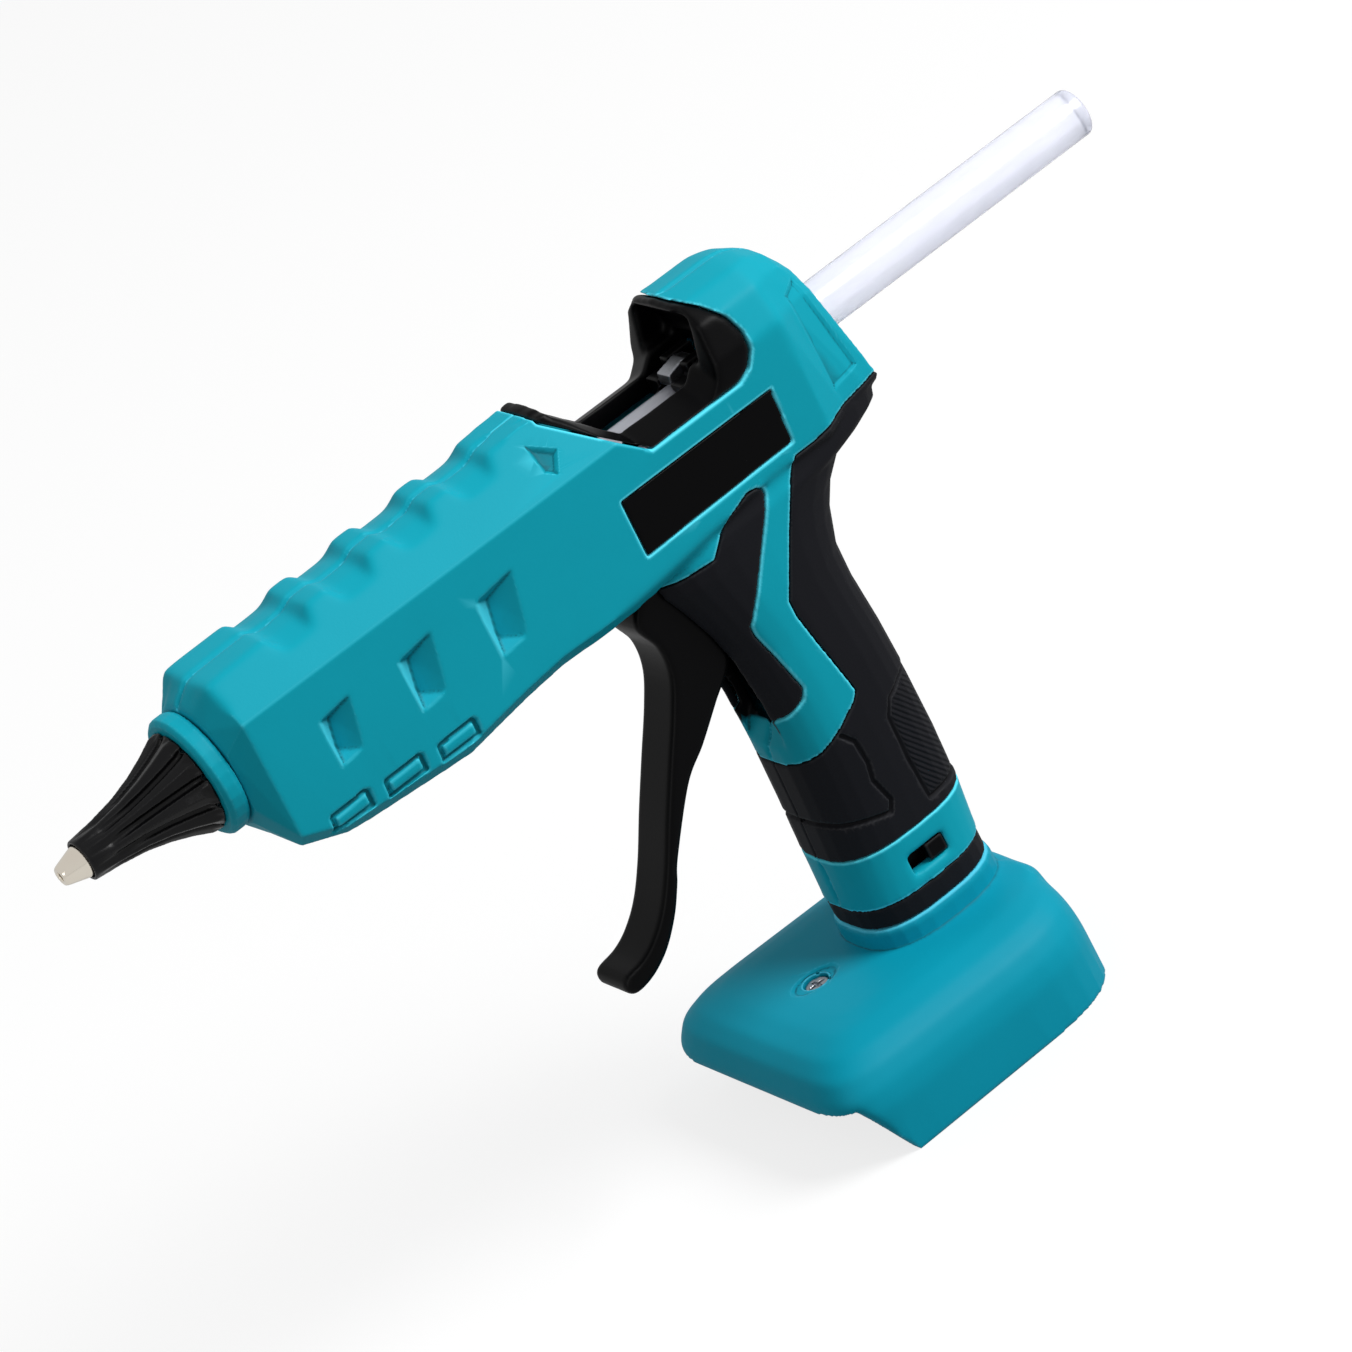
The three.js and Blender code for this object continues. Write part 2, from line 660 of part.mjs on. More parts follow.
function tipForm() {
  const rear = chamberFront - seam;
  const socketEnd = chamberFront - chamberBossLength - seam;
  return turnedX([
    [nozzleEnd, outletRadius], [nozzleEnd, tipEndRadius],
    [nozzleEnd + tipChamfer, tipEndRadius + tipChamfer / 2],
    [tipBare, tipBareRadius], [tipWaist, tipWaistRadius], [tipShoulder, tipRearRadius], [rear, tipRearRadius],
    [rear, chamberBossRadius + seam], [socketEnd, chamberBossRadius + seam], [socketEnd, glueWay],
    [tipWaist, glueWay], [tipBare, outletRadius], [nozzleEnd, outletRadius],
  ]);
}

const ringOuter = 14;
const ringThickness = 4.6;
const ringFront = noseX - noseStep - seam - ringThickness;
const ringRound = 1;
const bootTailRadius = 10.2;
const bootLipRadius = 11.7;
const bootFlutes = 10;
const bootFluteDepthShare = 0.14;
const bootShares = [[0, 1], [0.07, 0.98], [0.2, 0.83], [0.36, 0.68], [0.55, 0.55], [0.78, 0.46], [1, 0.4]];

function bootForm() {
  const start = ringFront - seam;
  const end = tipBare + seam;
  const sides = 4 * bootFlutes;
  const rings = bootShares.map(([run, share], row) => {
    const radius = bootLipRadius * share;
    const flute = row === 0 || row === bootShares.length - 1 ? 0 : bootFluteDepthShare;
    const x = start + (end - start) * run;
    return Array.from({ length: sides }, (_, i) => {
      const angle = (i / sides) * Math.PI * 2;
      const r = radius * (1 - flute * (0.5 - 0.5 * Math.cos(bootFlutes * angle)));
      return new THREE.Vector3(x, r * Math.cos(angle), r * Math.sin(angle));
    });
  });
  const tail = rodX(bootTailRadius, start - overrun, frontWallInside);
  const hollow = turnedX([
    [end - overrun, 0], [end - overrun, tipBareRadius + seam], [tipWaist, tipWaistRadius + seam],
    [tipShoulder, tipRearRadius + seam], [frontWallInside + overrun, tipRearRadius + seam],
    [frontWallInside + overrun, 0],
  ]);
  return cut(join(loft(rings), tail), hollow);
}

// Screws: self-tapping, heads in the right half; places are [x, z] shares of the spans that they follow
const screwHead = 2.8;
const screwHeadHeight = 2.1;
const screwShank = 1.45;
const screwLength = 19;
const screwSeat = 9;
const bossLeft = 3.4;
const bossRight = 4.3;
const driveWidth = 0.8;
const driveDepth = 1.1;
const driveReach = 2;
const screwPlaces = [
  ['nose', -1.08 * barrelSpan, -1.02 * barrelHalf], ['barrel', -0.56 * barrelSpan, -1.0 * barrelHalf],
  ['tail', 0.215 * barrelSpan, -0.64 * barrelHalf], ['grip', -0.033 * gripSpan, -0.645 * gripSpan],
  ['collar', -0.112 * gripSpan, -1.093 * gripSpan],
];

function screwForm(x, z) {
  const top = screwSeat + seam + screwHeadHeight;
  const parts = join(
    rodY(x, z, screwHead, screwSeat + seam, top),
    rodY(x, z, screwShank, top - screwHeadHeight - screwLength, top - overrun / 2, smallSteps),
  );
  const arms = [[driveReach, driveWidth / 2], [driveWidth / 2, driveReach]];
  return arms.reduce((rest, [wide, high]) => rest.subtract(
    block(x - wide, x + wide, top - driveDepth, top + overrun, z - high, z + high),
  ), parts);
}

// Housing ribs and beds
const ribThickness = 2.5;
const sleeveRibX = -0.655 * barrelSpan;
const bedTop = carriageLow - seam;
const frontBedX = -0.34 * barrelSpan;
const frontBedThickness = 3;
const rearBedX = 0.03 * barrelSpan;
const rearBedLength = 0.09 * barrelSpan;
const bedFoot = -30;
const rearBedFoot = -15;
const leadRadius = 0.9;
const leadPlaceShare = [0.697, -0.263];
const lowLeadPlaceShare = [0.531, -0.543];
const boardX = 0.09 * gripSpan;
const boardThickness = 1.6;
const boardHalf = 0.5769 * gripHalf;
const boardTop = -0.45 * gripSpan;
const boardEnd = -0.93 * gripSpan;
const boardRibShares = [-0.585, -0.87];
const boardRibFront = 0.06 * gripSpan;
const switchX = 0.005 * gripSpan;
const switchRise = 5.3;
const switchZ = collarEnd + switchRise;
const slotLength = 10;
const slotHeight = 4.6;
const knobLength = 4.6;
const knobTop = -0.9359 * gripHalf;
const switchFace = -0.6667 * gripHalf;
const switchDepth = 4.2;
const switchHalfLength = 6;
const switchHalfHeight = 3.1;
const bushOuter = 7.4;
const bushFront = 0.28 * barrelSpan;

function ribX(x, thickness, hole) {
  const slab = block(x, x + thickness, -farSide, farSide, -farSide, farSide).intersect(ribForm);
  return cut(slab, rodX(hole, x - overrun, x + thickness + overrun));
}

function ribbing() {
  const slab = (x0, x1, z0, z1) => block(x0, x1, -farSide, farSide, z0, z1).intersect(ribForm);
  const boards = boardRibShares.map((share) => {
    const z = share * gripSpan;
    return slab(boardRibFront, farSide, z - ribThickness / 2, z + ribThickness / 2);
  });
  const bosses = screwPlaces.map(([, x, z]) => join(
    rodY(x, z, bossLeft, -farSide, 0), rodY(x, z, bossRight, 0, farSide),
  )).map((boss) => boss.intersect(outerForm));
  const pivots = [[-farSide, -armOuter - 2 * seam], [armOuter + 2 * seam, farSide]].map(([from, to]) => (
    rodY(pivotX, pivotZ, hubRadius, from, to).intersect(outerForm)
  ));
  const board = block(
    boardX - seam, boardX + boardThickness + seam, -boardHalf - seam, boardHalf + seam,
    boardEnd - farSide, boardTop + seam,
  );
  const ways = [leadPlaceShare, lowLeadPlaceShare].flatMap((place) => (
    [leadWay(place, -1), leadWay(place, 1)]
  ));
  const ribs = join(
    ribX(chamberFront + 2 * seam, ribThickness, chamberRadius + seam),
    ribX(chamberRear - flangeThickness - seam - ribThickness, ribThickness, chamberRadius + seam),
    ribX(sleeveRibX, ribThickness, sleeveRadius + seam),
    ribX(bushFront, ribThickness, bushOuter + seam),
    slab(frontBedX, frontBedX + frontBedThickness, bedFoot, bedTop),
    slab(rearBedX, rearBedX + rearBedLength, rearBedFoot, bedTop),
    slab(-farSide / 2, farSide / 2, switchZ - ribThickness / 2, switchZ + ribThickness / 2),
    ...boards,
  );
  const switchRoom = block(
    switchX - switchHalfLength - seam, switchX + switchHalfLength + seam,
    -farSide, switchFace + switchDepth + seam,
    -farEnd, switchZ + switchHalfHeight + seam,
  );
  const rightRoomOfSwitch = block(-farSide, farSide, halfSeam, farSide, collarEnd, gripEnd);
  return join(cut(ribs, board, switchRoom, rightRoomOfSwitch, ...ways), ...bosses, ...pivots);
}

// Passage for a lead along the barrel
function leadWay([across, up], side) {
  const geometry = new THREE.CylinderGeometry(2 * leadRadius, 2 * leadRadius, 2 * farSide, smallSteps);
  geometry.rotateZ(Math.PI / 2);
  geometry.translate(-farSide, side * across * barrelHalf, up * barrelHalf);
  return solid(geometry);
}

// Three wedge pockets and three framed slots on each side of the barrel
const pocketCount = 3;
const pocketStartShare = -1.057;
const pocketPitchShare = 0.204;
const pocketGrowthShare = 0.12;
const pocketShares = [[0.006, 0.016], [0.118, 0.03], [0.098, -0.112], [0.006, -0.122]];
const pocketRidgeShares = [[0.044, -0.012], [0.03, -0.078]];
const pocketDepth = 3.2;
const pocketWall = 1.4;
const pocketMargin = 1.2;
const pocketFace = 0.94 * barrelHalf;
const slotCount = 3;
const slotStartShare = -1.122;
const slotPitchShare = 0.136;
const slotShares = [[0, -0.222], [0.004, -0.178], [0.096, -0.174], [0.106, -0.182], [0.104, -0.222]];
const slotGroove = 1.15;
const slotDrop = 0.9;
const slotDepth = 1.05;

// Thickened wall behind a pocket, inside the housing
function pocketBacking(index, side) {
  const growth = (1 + index * pocketGrowthShare) * barrelSpan;
  const startX = (pocketStartShare + index * pocketPitchShare) * barrelSpan;
  const outline = pocketShares.map(([x, z]) => new THREE.Vector2(startX + x * growth, z * growth));
  const inside = pocketFace - pocketDepth - pocketWall;
  const [from, to] = side < 0 ? [-barrelHalf, -inside] : [inside, barrelHalf];
  return alongY(inset(outline, -pocketMargin), from, to).intersect(outerForm);
}

function pocketForm(index, side) {
  const growth = 1 + index * pocketGrowthShare;
  const startX = (pocketStartShare + index * pocketPitchShare) * barrelSpan;
  const outside = side * (barrelHalf + overrun);
  const inside = side * (pocketFace - pocketDepth);
  const reach = growth * barrelSpan;
  const place = ([x, z], y) => new THREE.Vector3(startX + x * reach, y, z * reach);
  const [a, b, c, d] = pocketShares.map((share) => place(share, outside));
  const [e, f] = pocketRidgeShares.map((share) => place(share, inside));
  const faces = [[a, b, c], [a, c, d], [a, e, b], [b, e, c], [e, f, c], [c, f, d], [d, f, a], [a, f, e]];
  const geometry = new THREE.BufferGeometry().setFromPoints(faces.flat());
  return solid(geometry);
}

function slotOutline(index) {
  const start = (slotStartShare + index * slotPitchShare) * barrelSpan;
  return drawn(slotShares, barrelSpan).map((point) => (
    new THREE.Vector2(point.x + start, point.y - index * slotDrop)
  ));
}

// Housing halves
function housing() {
  const footing = foot().intersect(shoeBlock(shoeWall + 2 * seam, 2 * runningGap));
  const backings = [];
  for (let i = 0; i < pocketCount; i += 1) backings.push(pocketBacking(i, -1), pocketBacking(i, 1));
  const shell = join(cut(join(outerForm, neckTube(0), footing), innerForm), ribbing(), ...backings);
  const slots = [];
  for (let i = 0; i < slotCount; i += 1) {
    const outline = slotOutline(i);
    slots.push(recess(outline, slotDepth).subtract(alongY(inset(outline, slotGroove), -farSide, farSide)));
  }
  const pockets = [];
  for (let i = 0; i < pocketCount; i += 1) pockets.push(pocketForm(i, -1), pocketForm(i, 1));
  const recesses = [
    recess(insertOutline, skinDepth + seam), recess(rearGripOutline, skinDepth + seam),
    recess(badgeOutline, badgeDepth + seam),
  ];
  const leverRoom = alongY(drawn(leverSlotShares, gripSpan), -leverHalf - runningGap, leverHalf + runningGap);
  const hubRoom = rodY(pivotX, pivotZ, hubRadius + runningGap, -armOuter - seam, armOuter + seam, roundSteps);
  const armReach = hubRadius + 2 * armHalfWidth;
  const armRooms = [-armOuter - seam, armInner - seam].map((from) => block(
    pivotX - armReach, pivotX + armReach, from, from + armOuter - armInner + 2 * seam,
    pivotZ, pivotZ + 2 * armReach,
  ));
  const pinBore = rodY(pivotX, pivotZ, pinRadius + seam, -armOuter - wall, armOuter + wall, roundSteps);
  const noseHole = rodX(bootTailRadius + seam, noseX - farSide, chamberFront + ribThickness);
  const stickHole = rodX(bushOuter + seam, bushFront, farSide);
  const windowRoom = alongY(windowOutline, -farSide, farSide);
  const switchSlot = block(
    switchX - slotLength / 2, switchX + slotLength / 2, -farSide, switchFace,
    switchZ - slotHeight / 2, switchZ + slotHeight / 2,
  );
  const drives = screwPlaces.flatMap(([, x, z]) => [
    rodY(x, z, screwShank + seam, screwSeat + seam - screwLength - overrun, screwSeat + overrun),
    rodY(x, z, screwHead + seam, screwSeat, farSide, roundSteps),
  ]);
  return cut(
    shell, ...recesses, ...slots, ...pockets, leverRoom, hubRoom, ...armRooms, pinBore, noseHole,
    stickHole, windowRoom, switchSlot, ...drives,
  );
}

// Base: battery shoe with its flared neck, rail frame and terminals
const shoeFront = -0.545 * gripSpan;
const shoeWall = 2.6;
const shoeSteps = 36;
const frontPower = 7;
const rearPower = 4;
const roofFallShare = 0.08;
const shoeShares = [[0, 0], [0.47, 0], [0.63, 0.03], [0.79, 0.11], [0.905, 0.256], [0.976, 0.47], [1, 0.67]];
const rearPullShare = 0.3;
const apronShares = [[-0.8, -0.1], [-0.8, 0.575], [-0.492, 0.575], [-0.405, -0.1]];
// Each row of the flare: fall below the collar, spread past it, and how far it stays inside the rear end
const flareShares = [
  [0, 0, 1.15], [0.35, 0.15, 0.95], [0.7, 0.6, 0.6], [0.95, 1.2, 0.33], [1.25, 2, 0.15], [3, 2, 0.05],
];
const flareReach = 4;

function shoeRing(height, distance, pull, fallHeight) {
  const rear = shoeFront + shoeLength;
  const middle = (shoeFront + rear) / 2;
  const ring = [];
  for (let i = 0; i < shoeSteps; i += 1) {
    const angle = ((i + 0.5) / shoeSteps) * Math.PI * 2;
    const [c, s] = [Math.cos(angle), Math.sin(angle)];
    const power = c < 0 ? frontPower : rearPower;
    const endPull = c < 0 ? pull : pull * rearPullShare;
    const x = middle + Math.sign(c) * Math.abs(c) ** (2 / power) * (shoeLength / 2 - distance - endPull);
    const y = Math.sign(s) * Math.abs(s) ** (2 / power) * (shoeHalf - distance - pull);
    const fall = (roofFallShare * x * fallHeight) / shoeLength;
    ring.push(new THREE.Vector3(x, y, floorLevel + height - fall));
  }
  return ring;
}

function shoeBlock(distance, drop = 0) {
  return loft(shoeShares.map(([rise, pull], row) => {
    const lowered = row && distance ? roofThickness * rise : 0;
    const sunk = row || !distance ? 0 : overrun;
    const level = rise * shoeHeight;
    return shoeRing(level - lowered - sunk - drop, distance, pull * shoeHeight, level);
  }));
}

function flareForm() {
  const drop = neckRise - seam;
  return loft(flareShares.map(([fall, spread, setback]) => {
    const rear = shoeFront + shoeLength - setback * flareReach;
    const ring = gripRing(collarShare, -spread * flareReach, bandEnd - seam - fall * drop);
    return ring.map((point) => point.setX(Math.min(point.x, rear)));
  }));
}

const shoeScrewX = -0.3 * gripSpan;
const shoeBossRadius = 4.4;
const plateTop = 16.6;
const plateThickness = 2.4;
const legSetback = 5.4;
const legThickness = 2.6;
const ledgeDepth = 3.6;
const legOuter = shoeHalf - legSetback;
const legInner = legOuter - legThickness;
const ledgeInner = legInner - ledgeDepth;
const ledgeTop = 5;
const ledgeFoot = 1.6;
const frameSetback = 3.5;
const frameRear = shoeFront + shoeLength - frameSetback;
const plateBossTop = 20;

function shoeForm() {
  const above = gripRing(collarShare, neckInset - seam, bandEnd + overrun);
  const below = gripRing(collarShare, neckInset - seam, footEnd - overrun);
  const bossFoot = floorLevel + plateBossTop + seam;
  const headFoot = roofLevel - roofThickness + seam;
  const boss = rodZ(shoeScrewX, 0, shoeBossRadius, bossFoot, roofLevel - overrun, roundSteps);
  const head = rodZ(shoeScrewX, 0, screwHead + seam, headFoot, roofLevel + farSide, roundSteps);
  const shank = rodZ(shoeScrewX, 0, screwShank + seam, floorLevel, roofLevel);
  const apronOutline = apronShares.map(([x, z]) => (
    new THREE.Vector2(x * gripSpan, floorLevel + z * shoeHeight)
  ));
  const apron = alongY(apronOutline, -farSide, farSide);
  const shell = cut(join(shoeBlock(0), flareForm()), shoeBlock(shoeWall), apron, loft([above, below]));
  return cut(join(shell, boss), head, shank);
}

function railFrameForm() {
  const level = (height) => floorLevel + height;
  const half = [
    [legOuter, plateTop], [legOuter, ledgeFoot], [ledgeInner, ledgeFoot], [ledgeInner, ledgeTop],
    [legInner, ledgeTop], [legInner, plateTop - plateThickness],
  ];
  const outline = [...half, ...half.slice().reverse().map(([y, z]) => [-y, z])];
  const bar = alongX(outline.map(([y, z]) => new THREE.Vector2(y, level(z))), -farSide, frameRear);
  const front = alongY(apronShares.map(([x, z]) => (
    new THREE.Vector2(x * gripSpan + shoeWall, floorLevel + z * shoeHeight + farSide * (z > 0 ? 1 : 0))
  )), -farSide, farSide);
  const bossFoot = level(plateTop) - overrun;
  const boss = rodZ(shoeScrewX, 0, shoeBossRadius, bossFoot, level(plateBossTop), roundSteps);
  const shank = rodZ(shoeScrewX, 0, screwShank + seam, level(plateTop) - overrun, roofLevel);
  return cut(join(cut(bar.intersect(shoeBlock(shoeWall + seam, runningGap)), front), boss), shank);
}

const terminalSetback = 6;
const terminalLength = 18;
const terminalRear = shoeFront + shoeLength - terminalSetback;
const terminalFront = terminalRear - terminalLength;
const terminalHalf = 16;
const terminalFoot = 4.5;
const bladeY = 9.5;
const bladeThickness = 0.9;
const bladeProud = 12;
const bladeFront = terminalFront - bladeProud;
const bladeRear = terminalFront + bladeProud;
const bladeFoot = 6.5;
const bladeTop = 12.5;

function bladeRoom(side, grow) {
  return block(
    bladeFront - grow, bladeRear + grow, side * bladeY - bladeThickness / 2 - grow,
    side * bladeY + bladeThickness / 2 + grow, floorLevel + bladeFoot - grow, floorLevel + bladeTop + grow,
  );
}

function terminalForm() {
  const top = floorLevel + plateTop - plateThickness - seam;
  const foot = floorLevel + terminalFoot;
  const form = block(terminalFront, terminalRear, -terminalHalf, terminalHalf, foot, top);
  return cut(form, bladeRoom(-1, seam), bladeRoom(1, seam));
}

function shoeScrewForm() {
  const top = roofLevel - roofThickness + 2 * seam + screwHeadHeight;
  const seat = top - screwHeadHeight;
  const parts = join(
    rodZ(shoeScrewX, 0, screwHead, seat, top),
    rodZ(shoeScrewX, 0, screwShank, floorLevel + plateTop, seat + overrun / 2),
  );
  const arms = [[driveReach, driveWidth / 2], [driveWidth / 2, driveReach]];
  return arms.reduce((rest, [wide, deep]) => rest.subtract(
    block(shoeScrewX - wide, shoeScrewX + wide, -deep, deep, top - driveDepth, top + overrun),
  ), parts);
}

// Black band between collar and base
function bandForm() {
  const outer = loft([gripRing(collarShare, seam, collarEnd - seam), gripRing(collarShare, seam, bandEnd)]);
  const inner = loft([
    gripRing(collarShare, neckInset - seam, collarEnd + overrun),
    gripRing(collarShare, neckInset - seam, bandEnd - overrun),
  ]);
  return outer.subtract(inner);
}

// Round wire or lead: rings of few sides set square to a path of points
function wireForm(path, radius, sides) {
  const rings = path.map((point, i) => {
    const before = path[Math.max(i - 1, 0)];
    const after = path[Math.min(i + 1, path.length - 1)];
    const forward = after.clone().sub(before).normalize();
    const guide = Math.abs(forward.x) > 0.7 ? new THREE.Vector3(0, 0, 1) : new THREE.Vector3(1, 0, 0);
    const across = guide.cross(forward).normalize();
    const up = forward.clone().cross(across);
    return Array.from({ length: sides }, (_, k) => {
      const angle = (k / sides) * Math.PI * 2;
      const out = across.clone().multiplyScalar(radius * Math.cos(angle));
      return point.clone().add(out).addScaledVector(up, radius * Math.sin(angle));
    });
  });
  return loft(rings);
}

const springTurns = 8;
const springSteps = 8;
const springSides = 5;

function springForm() {
  const from = frontBedX + frontBedThickness + seam + springWire / 2;
  const to = lugFront - seam - springWire / 2;
  const radius = springRadius - springWire / 2;
  const steps = springTurns * springSteps;
  const rings = Array.from({ length: steps + 1 }, (_, i) => {
    const angle = (i / springSteps) * Math.PI * 2;
    const middle = new THREE.Vector3(
      from + ((to - from) * i) / steps, radius * Math.cos(angle), springAxis + radius * Math.sin(angle),
    );
    const outward = new THREE.Vector3(0, Math.cos(angle), Math.sin(angle));
    const along = new THREE.Vector3(1, 0, 0);
    return Array.from({ length: springSides }, (_, k) => {
      const turn = (k / springSides) * Math.PI * 2;
      return middle.clone().addScaledVector(outward, (springWire / 2) * Math.cos(turn))
        .addScaledVector(along, (springWire / 2) * Math.sin(turn));
    });
  });
  return loft(rings);
}

// Heater leads from the board's top edge to the heater block
const leadSides = 6;
const leadSteps = 34;
const gripLeadShares = [[0.098, 0.19, -0.444], [0.105, 0.26, -0.37], [0.13, 0.385, -0.27]];
const barrelLeadShares = [
  [0.143, 0.486, -1.029], [0.146, 0.628, -0.571],
  [0.12, 0.691, -0.314], [0.05, ...leadPlaceShare], [-0.2, ...leadPlaceShare], [-0.36, ...leadPlaceShare],
  [-0.47, ...lowLeadPlaceShare], [-0.6, ...lowLeadPlaceShare], [-0.84, ...lowLeadPlaceShare],
  [-0.893, 0.52, -0.56], [-0.9, 0.46, -0.571],
];

function leadForm(side) {
  const points = [
    ...gripLeadShares.map(([x, y, z]) => (
      new THREE.Vector3(x * gripSpan, side * y * gripHalf, z * gripSpan)
    )),
    ...barrelLeadShares.map(([x, y, z]) => (
      new THREE.Vector3(x * barrelSpan, side * y * barrelHalf, z * barrelHalf)
    )),
  ];
  const path = new THREE.CatmullRomCurve3(points, false, 'centripetal').getSpacedPoints(leadSteps);
  return wireForm(path, leadRadius, leadSides);
}

// Assembly
const gun = new THREE.Group();

function place(name, body, finish) {
  const mesh = new THREE.Mesh(surface(body), new THREE.MeshStandardMaterial(finishes[finish]));
  mesh.name = name;
  gun.add(mesh);
}

const shell = housing();
place('left_housing', largest(shell.intersect(leftRoom)), 'tealShell');
place('right_housing', largest(shell.intersect(rightRoom)), 'tealShell');
place('nose_ring', turnedX([
  [ringFront, bootTailRadius + seam], [ringFront, ringOuter - ringRound],
  [ringFront + ringRound, ringOuter], [ringFront + ringThickness - ringRound, ringOuter],
  [ringFront + ringThickness, ringOuter - ringRound / 2],
  [ringFront + ringThickness, bootTailRadius + seam], [ringFront, bootTailRadius + seam],
], ringSteps), 'tealShell');
place('nozzle_boot', bootForm(), 'silicone');
place('nozzle_tip', tipForm(), 'brass');
place('melt_chamber', chamberForm(), 'aluminium');
place('heater_block', block(
  heaterFront, heaterRear, -heaterHalf, heaterHalf, heaterFlat - seam - heaterHeight, heaterFlat - seam,
), 'ceramic');
place('heater_clip', clipForm(), 'steel');
place('inlet_sleeve', tubeX(boreRadius, sleeveRadius, chamberRear + seam, sleeveRear), 'heatSilicone');
place('feed_carriage', carriageForm(), 'blackPlastic');
place('gripper_pawl', pawlForm(), 'steel');
place('gripper_pin', rodY(pawlPinX, pawlPinZ, pawlPinRadius, -pawlPinHalf, pawlPinHalf), 'steel');
place('return_spring', springForm(), 'steel');
const stickInset = 6.2;
const stickEnd = chamberRear - stickInset + stickLength;
place('glue_stick', rodX(stickRadius, stickEnd - stickLength, stickEnd), 'clearGlue');
const bushing = tubeX(boreRadius, bushOuter, bushFront + seam, farSide).intersect(outerForm);
place('rear_bushing', bushing, 'blackPlastic');
place('window_bezel', bezelForm(), 'blackPlastic');
place('trigger', triggerForm(), 'blackPlastic');
const pinEnd = armOuter + wall - seam;
place('trigger_pin', rodY(pivotX, pivotZ, pinRadius, -pinEnd, pinEnd, roundSteps), 'steel');

const leverGap = alongY(drawn(leverSlotShares, gripSpan), -leverHalf - runningGap, leverHalf + runningGap);
const hubReach = armOuter + runningGap;
const hubGap = rodY(pivotX, pivotZ, hubRadius + runningGap, -hubReach, hubReach, roundSteps);
for (const [side, room] of [['left', leftRoom], ['right', rightRoom]]) {
  const insert = cut(layer(inset(insertOutline, seam), 0, skinDepth).intersect(room), leverGap, hubGap);
  place(`${side}_grip_insert`, insert, 'blackGrip');
  const rearGrip = layer(inset(rearGripOutline, seam), 0, skinDepth).intersect(room).subtract(leverGap);
  place(`${side}_rear_grip`, rearGrip, 'blackGrip');
  place(`${side}_badge`, layer(inset(badgeOutline, seam), 0, badgeDepth).intersect(room), 'glossPlate');
  place(`${side}_heater_lead`, leadForm(side === 'left' ? -1 : 1), side === 'left' ? 'redLead' : 'blackLead');
  place(`${side}_terminal_blade`, bladeRoom(side === 'left' ? -1 : 1, 0), 'brass');
}
const boardForm = block(boardX, boardX + boardThickness, -boardHalf, boardHalf, boardEnd, boardTop);
place('control_board', boardForm, 'board');
place('switch_body', block(
  switchX - switchHalfLength, switchX + switchHalfLength, switchFace, switchFace + switchDepth,
  switchZ - switchHalfHeight, switchZ + switchHalfHeight,
), 'blackPlastic');
const knobRear = switchX + slotLength / 2 - seam;
place('power_slider', block(
  knobRear - knobLength, knobRear, knobTop, switchFace - seam,
  switchZ - slotHeight / 2 + seam, switchZ + slotHeight / 2 - seam,
), 'blackPlastic');
place('neck_band', bandForm(), 'blackGrip');
place('battery_shoe', shoeForm(), 'tealBase');
place('rail_frame', railFrameForm(), 'blackPlastic');
place('terminal_block', terminalForm(), 'blackPlastic');
place('shoe_screw', shoeScrewForm(), 'steel');
for (const [name, x, z] of screwPlaces) place(`${name}_screw`, screwForm(x, z), 'steel');

gun.position.set(-(nozzleEnd + stickEnd) / 2, 0, -floorLevel);
export default gun;
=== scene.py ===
import json
import math

import bmesh
import bpy
from mathutils import Matrix, Vector
from mathutils.bvhtree import BVHTree


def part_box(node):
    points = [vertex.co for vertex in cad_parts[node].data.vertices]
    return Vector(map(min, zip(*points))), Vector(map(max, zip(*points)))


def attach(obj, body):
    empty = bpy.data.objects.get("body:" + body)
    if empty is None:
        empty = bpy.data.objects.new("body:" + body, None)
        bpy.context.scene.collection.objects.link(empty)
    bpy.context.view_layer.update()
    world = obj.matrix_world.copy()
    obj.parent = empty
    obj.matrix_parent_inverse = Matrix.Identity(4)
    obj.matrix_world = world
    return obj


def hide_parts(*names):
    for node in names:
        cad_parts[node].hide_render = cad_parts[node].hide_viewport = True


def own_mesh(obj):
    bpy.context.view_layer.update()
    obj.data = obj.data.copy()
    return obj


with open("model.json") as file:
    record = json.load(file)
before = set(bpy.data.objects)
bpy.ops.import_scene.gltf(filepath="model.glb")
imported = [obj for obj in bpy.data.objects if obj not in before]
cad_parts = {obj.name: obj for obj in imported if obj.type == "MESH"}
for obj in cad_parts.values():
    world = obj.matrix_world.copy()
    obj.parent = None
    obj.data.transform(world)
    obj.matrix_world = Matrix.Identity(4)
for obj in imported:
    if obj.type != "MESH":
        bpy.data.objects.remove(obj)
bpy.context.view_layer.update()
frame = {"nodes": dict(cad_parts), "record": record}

bl_info = {
    "name": "Cordless glue gun",
    "version": (1, 0, 0),
    "blender": (4, 5, 0),
    "location": "View3D > Sidebar > Glue gun",
    "description": "Dresses the glue gun's frame with moulded shells, grips, finishes and a plain studio",
    "category": "Object",
}

MM = 0.001
# The gun's own frame: the barrel axis crosses the handle axis here, +X to the tail, -Y the left side
GUN = Vector((0.0229, 0.0, 0.1515))
SIDES = {"left": -1, "right": 1}


def at(x, y, z):
    """A place in the gun's own frame, in millimetres, as a place in the row frame."""
    return GUN + Vector((x, y, z)) * MM


def gun_mm(place):
    """A place in the row frame as millimetres in the gun's own frame."""
    return (place - GUN) / MM


def linear(code):
    """An sRGB hex colour as linear light."""
    parts = [int(code[i : i + 2], 16) / 255 for i in (0, 2, 4)]
    return [p / 12.92 if p <= 0.04045 else ((p + 0.055) / 1.055) ** 2.4 for p in parts]


# Sizes and colours that a user would change


